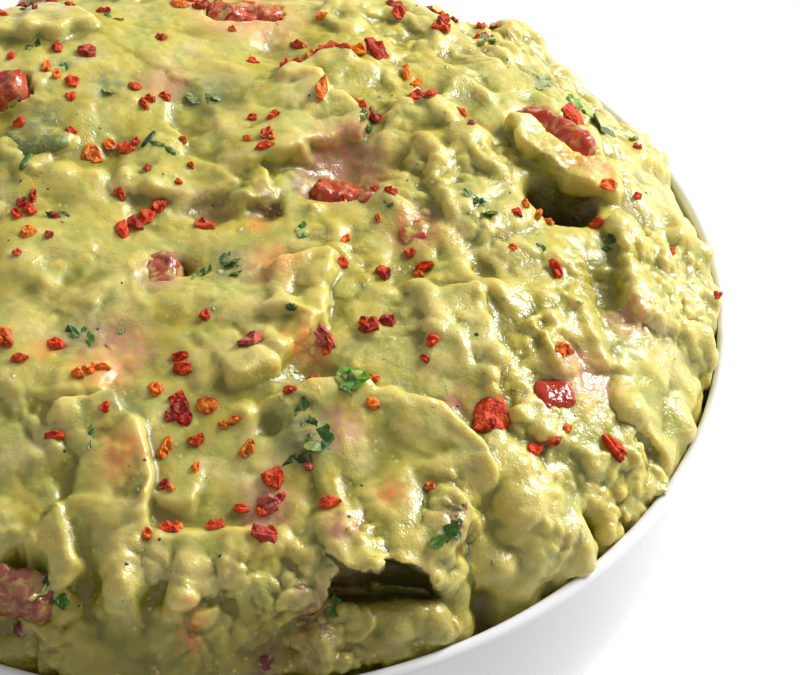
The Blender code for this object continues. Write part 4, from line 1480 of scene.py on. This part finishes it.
# Across, away, length, kind, how wide for its length, turn, and how deep it is pressed in.
LEAVES = [
    (20, -37, 4.2, "l", 0.8, 30, 0.0), (19.2, -37.8, 3.0, "g", 0.7, -20, 0.0),
    (13.5, -41.5, 3.6, "g", 0.6, 70, 0.15), (15.5, -45.5, 3.8, "g", 0.7, 20, 0.15),
    (12.5, -48, 4.2, "k", 0.5, 35, 0.15), (14.4, -43.8, 2.6, "k", 0.6, 90, 0.2),
    (16.8, -43.8, 2.0, "b", 0.7, 10, 0.2), (2.5, -13, 3.2, "b", 0.8, 40, 0.1),
    (2.9, -15.4, 3.0, "g", 0.7, 80, 0.2), (-2, -16, 2.8, "k", 0.5, 50, 0.1),
    (-0.8, -14.6, 2.0, "g", 0.6, 20, 0.1), (12.5, -7, 2.6, "g", 0.7, 10, 0.2),
    (-17, -27.5, 3.6, "g", 0.7, -20, 0.2), (-18.4, -26.6, 2.2, "k", 0.6, 10, 0.2),
    (-10, -40, 2.8, "v", 0.8, 0, 0.25), (-14.5, -45.5, 3.0, "g", 0.3, 60, 0.1),
    (52.5, 30, 3.6, "l", 0.7, -30, 0.0), (54.8, 28.6, 2.6, "l", 0.6, 10, 0.0),
    (56.8, 27, 4.2, "g", 0.9, 60, 0.0), (48.2, 36.4, 3.2, "v", 0.6, 80, 0.2),
    (47.8, 32.2, 3.0, "v", 0.6, 80, 0.2), (36.2, -1.2, 2.6, "g", 0.6, 30, 0.1),
    (38.8, -3, 3.2, "g", 0.7, -30, 0.1), (37.5, -2, 2.0, "k", 0.6, 0, 0.1),
    (56, -4, 2.6, "g", 0.6, 60, 0.1), (56.7, -3.1, 1.6, "k", 0.7, 0, 0.0),
    (32, -58, 4.4, "g", 0.4, 25, 0.0), (33.6, -57.2, 2.4, "k", 0.5, 25, 0.0),
    (29.2, -53.5, 2.2, "g", 0.5, 80, 0.1), (17.5, -64.5, 3.0, "g", 0.6, 40, 0.0),
    (-18, -64, 3.6, "g", 0.5, -30, 0.0), (-19.6, -63, 2.2, "k", 0.6, 0, 0.0),
    (21.5, 16.7, 4.6, "k", 0.3, -5, 0.1), (20.8, 15.8, 2.4, "g", 0.5, 0, 0.1),
    (-28.5, 28, 2.4, "k", 0.6, 30, 0.1), (-23.5, 23, 1.8, "g", 0.6, 0, 0.15),
    (-3.5, 20, 3.4, "v", 0.6, 10, 0.25), (-0.4, 20.9, 2.8, "b", 0.5, 20, 0.25),
    (-16.8, 19.6, 3.2, "v", 0.6, 20, 0.3), (-22.5, -6, 2.6, "k", 0.6, 0, 0.1),
    (-21.4, -5.4, 1.8, "b", 0.6, 60, 0.1), (24.5, -2.4, 1.6, "g", 0.6, 0, 0.1),
    (11.4, -24.8, 1.4, "k", 0.7, 0, 0.0), (46, -8.4, 1.6, "g", 0.6, 0, 0.1),
    (-11.6, -27, 1.6, "g", 0.6, 0, 0.2),
]
# Across, away, length, kind, thickness, turn, how deep
STEMS = [
    (-10.4, 10.1, 3.4, "k", 1.3, -35, 0.1), (-8.2, 8.3, 4.4, "g", 1.5, -42, 0.3),
    (-5.9, 6.4, 3.4, "g", 1.2, -30, 0.35), (-25.8, 6.6, 8.4, "v", 4.2, 50, 0.35),
    (-27.2, 4.2, 5.5, "g", 1.4, 50, 0.1), (-29, 8.2, 4.5, "v", 2.2, 70, 0.3),
    (-11, 3.2, 3.0, "v", 1.2, 20, 0.6), (-46, -4, 5.0, "g", 1.3, 30, 0.3),
    (-20, 52, 6.0, "v", 2.6, 10, 0.8), (8, 60, 4.0, "k", 1.2, 80, 0.2),
]


def lay_greens():
    chance = random.Random(3)
    pieces = []
    extra = [
        (x, y, chance.uniform(1.8, 4.0), chance.choice("ggkvb"), chance.uniform(0.4, 0.8),
         chance.uniform(0, 360), 0.15)
        for x, y in spare_places(SPARE_LEAVES, 6)
    ]
    for x, y, length, kind, width, turn, deep in LEAVES + extra:
        tint = [channel * chance.uniform(0.8, 1.25) for channel in GREEN_TINTS[kind]]
        matrix = laid_on(x, y, turn, 14, deep - 0.12, chance)
        size = (1.3 * length * MM, 1.3 * length * width * MM, 0.7 * length * MM)
        pieces.append(copy_of(chance.choice(leaf_templates), matrix, size, tint))
    for x, y, length, kind, thick, turn, deep in STEMS:
        matrix = laid_on(x, y, turn, 3, deep, chance)
        size = (length * MM, 0.85 * thick * MM, 0.5 * thick * MM)
        pieces.append(copy_of(chance.choice(stem_templates), matrix, size, GREEN_TINTS[kind]))
    return join_all(pieces, "coriander_and_green_chilli", leaf_templates + stem_templates)


greens = lay_greens()

# %% [markdown]
# ### Green finish
#
# A chopped leaf is dark and wet, lighter along its veins, and part of it is smeared with
# paste. Its own tint comes from an attribute, so one finish does for leaves, stems and
# strips alike.

# %% Green material


def make_green_finish():
    look = Finish("wet_greens")
    tint = look.attribute("tint", "Color")
    veins = look.noise(0.9 * MM, detail=3, warp=0.6)
    lighter = look.mix(1.0, tint, (1.9, 1.7, 1.4), blend="MULTIPLY")
    body = look.mix(look.ramp(veins, (0.48, 0.0), (0.62, 0.8)), tint, lighter)
    smear = look.ramp(look.noise(1.7 * MM, detail=3), (0.54, 0.0), (0.62, 0.6))
    look.set(Base_Color=look.mix(smear, body, (0.36, 0.36, 0.09)))
    look.set(Normal=look.bump(look.noise(0.5 * MM, detail=2), 0.14 * MM, 0.8))
    look.set(Roughness=look.ramp(veins, (0.3, 0.34), (0.7, 0.52)))
    look.set(IOR=1.40)
    look.lets_light_in(0.3, (0.5, 1.0, 0.3), 0.6 * MM)
    return look.material


wear(greens, make_green_finish())
hand_over(greens)

# %% [markdown]
# ## Small bits of tomato, onion and avocado
#
# Between the dice there are crumbs: pink and orange tomato, clear white onion, dark bits of
# skin and spice, and half-mashed avocado in lumps of one to two millimetres. All are
# rounded, so they are all made from a few small icospheres pulled out of true.

# %% Crumb templates


def make_crumb(number):
    chance = random.Random(90 + number)
    select_only()
    bpy.ops.mesh.primitive_ico_sphere_add(subdivisions=2, radius=0.5)
    crumb = named("crumb_%d" % number)
    bumps = []
    for _ in range(7):
        way = Vector([chance.gauss(0, 1) for _ in range(3)]).normalized()
        bumps.append((way, chance.uniform(-0.3, 0.3)))
    for vertex in crumb.data.vertices:
        way = vertex.co.normalized()
        vertex.co *= 1 + sum(size * max(0, way.dot(axis)) ** 3 for axis, size in bumps)
        vertex.co.z *= 0.8
    shade_smooth(crumb)
    return crumb


def crumb_set():
    return [make_crumb(i) for i in range(4)]


def random_crumb(chance, x, y, lengths, widths, deep, tint=None):
    length, width, turn = chance.uniform(*lengths), chance.uniform(*widths), chance.uniform(0, 360)
    return (x, y, length, width, turn, deep, tint)


def lay_crumbs(name, places, templates, seed, tinted):
    """Places are (across, away, length, width share, turn, how deep, tint)."""
    chance = random.Random(seed)
    pieces = []
    for x, y, length, width, turn, deep, tint in places:
        matrix = laid_on(x, y, turn, 25, deep * length, chance)
        if matrix is None:
            continue
        size = (length * MM, length * width * MM, length * 0.75 * MM)
        pieces.append(copy_of(chance.choice(templates), matrix, size, tint if tinted else None))
    return join_all(pieces, name, templates)


# %% [markdown]
# ### Tomato crumbs
#
# Chopping leaves shreds of flesh and skin that the paste half hides. They are crumbs
# pressed in by a third of their length, each with its own tint, under a thin film.

# %% Tomato crumbs
BIT_TINTS = {
    "pink": (0.60, 0.22, 0.16), "orange": (0.72, 0.20, 0.05), "red": (0.42, 0.030, 0.016),
    "dark": (0.14, 0.010, 0.012), "brown": (0.20, 0.070, 0.035),
}
TOMATO_BITS = [
    (17.4, 1.6, 5.0, 0.7, 10, 0.30, "dark"), (20.6, 0.8, 4.2, 0.8, -20, 0.22, "red"),
    (14.2, 1.4, 3.4, 0.6, 0, 0.25, "dark"), (15.6, 4.4, 4.6, 0.6, 25, 0.30, "pink"),
    (13.4, 3.2, 2.8, 0.7, 0, 0.28, "pink"), (-1.2, -1.6, 3.0, 0.6, 10, 0.35, "brown"),
    (7.2, -1.6, 3.0, 0.6, 30, 0.30, "brown"), (9.0, -2.8, 2.4, 0.6, 60, 0.30, "brown"),
    (5.6, -5.6, 2.4, 0.7, 70, 0.35, "orange"), (-2.6, -12.0, 3.0, 0.6, 50, 0.28, "red"),
    (-3.8, -17, 3.0, 0.5, 40, 0.38, "pink"), (5.2, -8.4, 2.6, 0.7, 0, 0.38, "pink"),
    (8, -13.4, 4.0, 0.7, 0, 0.42, "orange"), (-11.6, -29.4, 3.6, 0.6, 10, 0.40, "pink"),
    (-13, -29.6, 3.0, 0.3, 5, 0.30, "red"), (-10.4, -48, 3.4, 0.7, -40, 0.38, "orange"),
    (-9.6, -49.2, 2.2, 0.5, -50, 0.32, "red"), (26.6, -7.6, 3.0, 0.6, -20, 0.35, "pink"),
    (57.8, -17.6, 3.4, 0.6, -60, 0.36, "pink"), (49, -28.6, 4.0, 0.4, -25, 0.30, "red"),
    (51.6, -30, 3.6, 0.4, -30, 0.32, "pink"), (53.2, 10.6, 4.0, 0.6, -40, 0.30, "orange"),
    (54.4, 9.2, 2.6, 0.6, -20, 0.30, "orange"), (18.4, -57.6, 2.4, 0.6, 0, 0.36, "pink"),
    (33.5, -55.6, 3.4, 0.6, 20, 0.30, "dark"), (34.4, -53.8, 2.6, 0.6, 60, 0.30, "brown"),
    (25, -52, 2.6, 0.7, 20, 0.42, "pink"), (-0.5, -68.2, 2.4, 0.7, 0, 0.30, "orange"),
    (9, -70, 4.2, 0.7, 10, 0.30, "dark"), (15, -67, 3.4, 0.7, 80, 0.35, "brown"),
    (14, -64.8, 2.4, 0.6, 80, 0.30, "pink"), (-23.2, -65.3, 2.6, 0.8, 0, 0.10, "dark"),
    (18.5, -43.6, 2.4, 0.6, 30, 0.40, "pink"), (45.8, 17.8, 2.2, 0.6, 0, 0.3, "dark"),
    (48.4, 12.6, 2.4, 0.6, 0, 0.35, "brown"), (-9, 22.6, 3.4, 0.5, 10, 0.42, "pink"),
    (28.4, 33, 3.0, 0.5, 0, 0.36, "orange"), (36.6, 15, 1.8, 0.7, 0, 0.36, "pink"),
    (-29, 14.2, 3.0, 0.6, 30, 0.34, "dark"), (40.4, 3.8, 2.2, 0.6, 20, 0.34, "brown"),
    (14.2, -29.4, 3.4, 0.5, 70, 0.32, "orange"),
]


def tomato_places():
    chance = random.Random(12)
    places = [(*spot[:6], BIT_TINTS[spot[6]]) for spot in TOMATO_BITS]
    for x, y in spare_places(SPARE_TOMATO, 8):
        tint = BIT_TINTS[chance.choice(("pink", "orange", "red", "pink"))]
        places.append(random_crumb(chance, x, y, (2, 4.6), (0.4, 0.8), 0.34, tint))
    return places


def make_bit_finish():
    look = Finish("tomato_crumbs_wet")
    tint = look.attribute("tint", "Color")
    mottle = look.noise(1.1 * MM, detail=4, warp=0.5)
    body = look.mix(look.ramp(mottle, (0.32, 0.6), (0.5, 0.0)), tint, (0.16, 0.012, 0.010))
    body = look.mix(look.ramp(mottle, (0.54, 0.0), (0.68, 0.5)), body, (0.72, 0.50, 0.34))
    film = look.ramp(look.noise(1.6 * MM, detail=4, warp=0.6), (0.50, 0.0), (0.62, 0.75))
    body = look.mix(film, body, PASTE_FILM)
    look.set(Base_Color=body, Normal=look.bump(look.noise(0.6 * MM, detail=3), 0.25 * MM, 0.8))
    look.set(Roughness=look.ramp(mottle, (0.3, 0.14), (0.7, 0.28)))
    look.lets_light_in(0.7, (1.0, 0.3, 0.15), 1.2 * MM)
    return look.material


tomato_bits = lay_crumbs("tomato_crumbs", tomato_places(), crumb_set(), 13, True)
wear(tomato_bits, make_bit_finish())
hand_over(tomato_bits)

# %% [markdown]
# ### Onion
#
# Raw onion in the mash is glassy and takes on the colour of the paste around it. So it is
# sunk deep and given a pale yellow body that lets much light in.

# %% Onion
ONION_BITS = [
    (19.4, 7.6, 3.6, 0.5, 20, 0.40), (21.8, 6.6, 3.0, 0.5, 60, 0.40), (18.2, 9.8, 3.4, 0.4, -30, 0.42),
    (16.4, 7.2, 2.6, 0.5, 0, 0.42), (-3.4, -14.6, 2.0, 0.7, 0, 0.3), (1.2, -15.6, 2.0, 0.7, 60, 0.28),
    (-6.4, -19.4, 2.4, 0.5, 20, 0.34), (18.8, -41.8, 2.2, 0.6, 0, 0.36),
    (36.2, -48.6, 2.4, 0.7, 0, 0.32), (50.2, -51, 3.2, 0.6, 60, 0.28), (3.6, -6.6, 2.2, 0.6, 70, 0.3),
    (9, -4.4, 2.0, 0.6, 0, 0.3), (-12, -49.5, 2.2, 0.6, 60, 0.34), (60, 12, 3.4, 0.6, 70, 0.3),
]


def onion_places():
    chance = random.Random(15)
    places = [(*spot, None) for spot in ONION_BITS]
    for x, y in spare_places(SPARE_ONION, 9):
        places.append(random_crumb(chance, x, y, (1.6, 3.2), (0.5, 0.8), 0.32))
    return places


def make_onion_finish():
    look = Finish("clear_onion")
    cloudy = look.noise(1.3 * MM, detail=3)
    body = look.ramp(cloudy, (0.35, (0.52, 0.47, 0.16)), (0.65, (0.70, 0.64, 0.34)))
    look.set(Base_Color=body, Normal=look.bump(look.noise(0.7 * MM, detail=2), 0.22 * MM, 0.8))
    look.set(Roughness=look.ramp(cloudy, (0.3, 0.10), (0.7, 0.24)))
    look.lets_light_in(0.9, (1.0, 0.9, 0.5), 1.6 * MM)
    return look.material


onion = lay_crumbs("onion_bits", onion_places(), crumb_set(), 16, False)
wear(onion, make_onion_finish())
hand_over(onion)

# %% [markdown]
# ### Half-mashed avocado
#
# Small lumps that the fork missed sit where the mash is rough. They wear the heap's own
# material, so they need the same attributes as the heap.

# %% Avocado crumbs
AVOCADO_CRUMBS = 300


def avocado_places():
    chance = random.Random(18)
    places = []
    while len(places) < AVOCADO_CRUMBS:
        x, y = chance.uniform(-70, 70), chance.uniform(-70, 70)
        if math.hypot(x, y) > 69.5:
            continue
        share = float(lumpiness(np.array([x * MM]), np.array([y * MM]))[0])
        if chance.random() < 0.12 + 0.88 * share:
            length = min(2.6, chance.lognormvariate(0.1, 0.36))
            width, turn = chance.uniform(0.5, 0.8), chance.uniform(0, 360)
            places.append((x, y, length, width, turn, chance.uniform(0.24, 0.42), None))
    return places


crumbs = lay_crumbs("avocado_crumbs", avocado_places(), crumb_set(), 19, False)
paint_stains_and_shade(crumbs)
# The fixed crest share gives the crumbs a little of the painted crest glow.
add_share(crumbs, "crest", np.full(len(crumbs.data.vertices), 0.62))
add_share(crumbs, "lumpy_skin", np.full(len(crumbs.data.vertices), 0.7))
wear(crumbs, AVOCADO)
hand_over(crumbs)


# %% [markdown]
# ### Ground spice
#
# A few grains of ground spice show as dark specks. Some sit at known places, and the rest
# are scattered.

# %% Specks
SPECKS = 60
PLACED_SPECKS = [
    (19.5, -56, 0.7), (36.5, -28, 0.8), (3, -61.5, 0.6),
    (-9, -62.5, 0.6), (-13.6, -33, 0.6), (36.8, -60.4, 0.7),
]


def speck_places():
    chance = random.Random(21)
    places = list(PLACED_SPECKS)
    while len(places) < SPECKS:
        x, y = chance.uniform(-68, 68), chance.uniform(-68, 68)
        if math.hypot(x, y) < 68:
            places.append((x, y, chance.uniform(0.3, 0.55)))
    return [(x, y, size, 0.8, chance.uniform(0, 360), 0.15, None) for x, y, size in places]


def make_speck_finish():
    look = Finish("ground_spice")
    grain = look.noise(0.8 * MM)
    tone = look.ramp(grain, (0.4, (0.030, 0.022, 0.010)), (0.6, (0.090, 0.060, 0.020)))
    look.set(Base_Color=tone, Roughness=look.ramp(look.noise(1.5 * MM), (0.4, 0.35), (0.6, 0.55)))
    return look.material


specks = lay_crumbs("dark_specks", speck_places(), crumb_set(), 22, False)
wear(specks, make_speck_finish())
hand_over(specks)

# %% [markdown]
# ## Light, floor and camera
#
# The bowl stands on a white sweep. One big soft light behind it and to the right rakes
# over the heap, which is what brings out wet relief, and a pale sky fills the shadows.

# %% Floor
FLOOR_SIZE = 6.0
FLOOR_GAP = 0.02 * MM


def make_floor():
    select_only()
    bpy.ops.mesh.primitive_plane_add(size=FLOOR_SIZE, location=(0, 0, bowl_low.z - FLOOR_GAP))
    floor = named("pale_floor")
    place_in_mesh(floor)
    look = Finish("white_sweep")
    tone = look.ramp(look.noise(0.4, detail=2), (0.4, (0.75, 0.75, 0.75)), (0.6, (0.77, 0.77, 0.77)))
    look.set(Base_Color=tone, Roughness=0.8)
    wear(floor, look.material)
    return floor


make_floor()

# %% Lights
WINDOW_PLACE = (0.93, 0.64, 0.80)
WINDOW_SIZE = (0.55, 0.55)
WINDOW_POWER = 28.5
SKY_STRENGTH = 0.45


def area_light(name, place, size, power, aim=(0, 0, 0.06)):
    data = bpy.data.lights.new(name, "AREA")
    data.shape = "RECTANGLE"
    data.size, data.size_y = size
    data.energy = power
    light = bpy.data.objects.new(name, data)
    light.location = place
    light.rotation_euler = (Vector(aim) - Vector(place)).to_track_quat("-Z", "Y").to_euler()
    bpy.context.scene.collection.objects.link(light)
    return light


area_light("window", WINDOW_PLACE, WINDOW_SIZE, WINDOW_POWER)

world = bpy.data.worlds.new("pale_room")
bpy.context.scene.world = world
world.use_nodes = True
background = world.node_tree.nodes["Background"]
background.inputs["Color"].default_value = (1.0, 1.0, 1.0, 1)
background.inputs["Strength"].default_value = SKY_STRENGTH

# %% [markdown]
# ## Camera
#
# A long lens from close above the front looks down over the heap and leaves the left and
# the near side of the bowl outside the frame.

# %% Camera
LENS = 120.0
SENSOR = 36.0
CAMERA_LIFT = math.radians(44.88)
CAMERA_DISTANCE = 388.9 * MM
CAMERA_AIM = Vector((26.08 * MM, -8.65 * MM, RIM_Z))

camera_data = bpy.data.cameras.new("view")
camera_data.lens = LENS
camera_data.sensor_width = SENSOR
camera = bpy.data.objects.new("view", camera_data)
towards = Vector((0, math.cos(CAMERA_LIFT), -math.sin(CAMERA_LIFT)))
camera.location = CAMERA_AIM - towards * CAMERA_DISTANCE
camera.rotation_euler = towards.to_track_quat("-Z", "Y").to_euler()
bpy.context.scene.collection.objects.link(camera)
bpy.context.scene.camera = camera
bpy.context.scene.view_settings.view_transform = "Standard"
bpy.context.scene.view_settings.exposure = 0.0
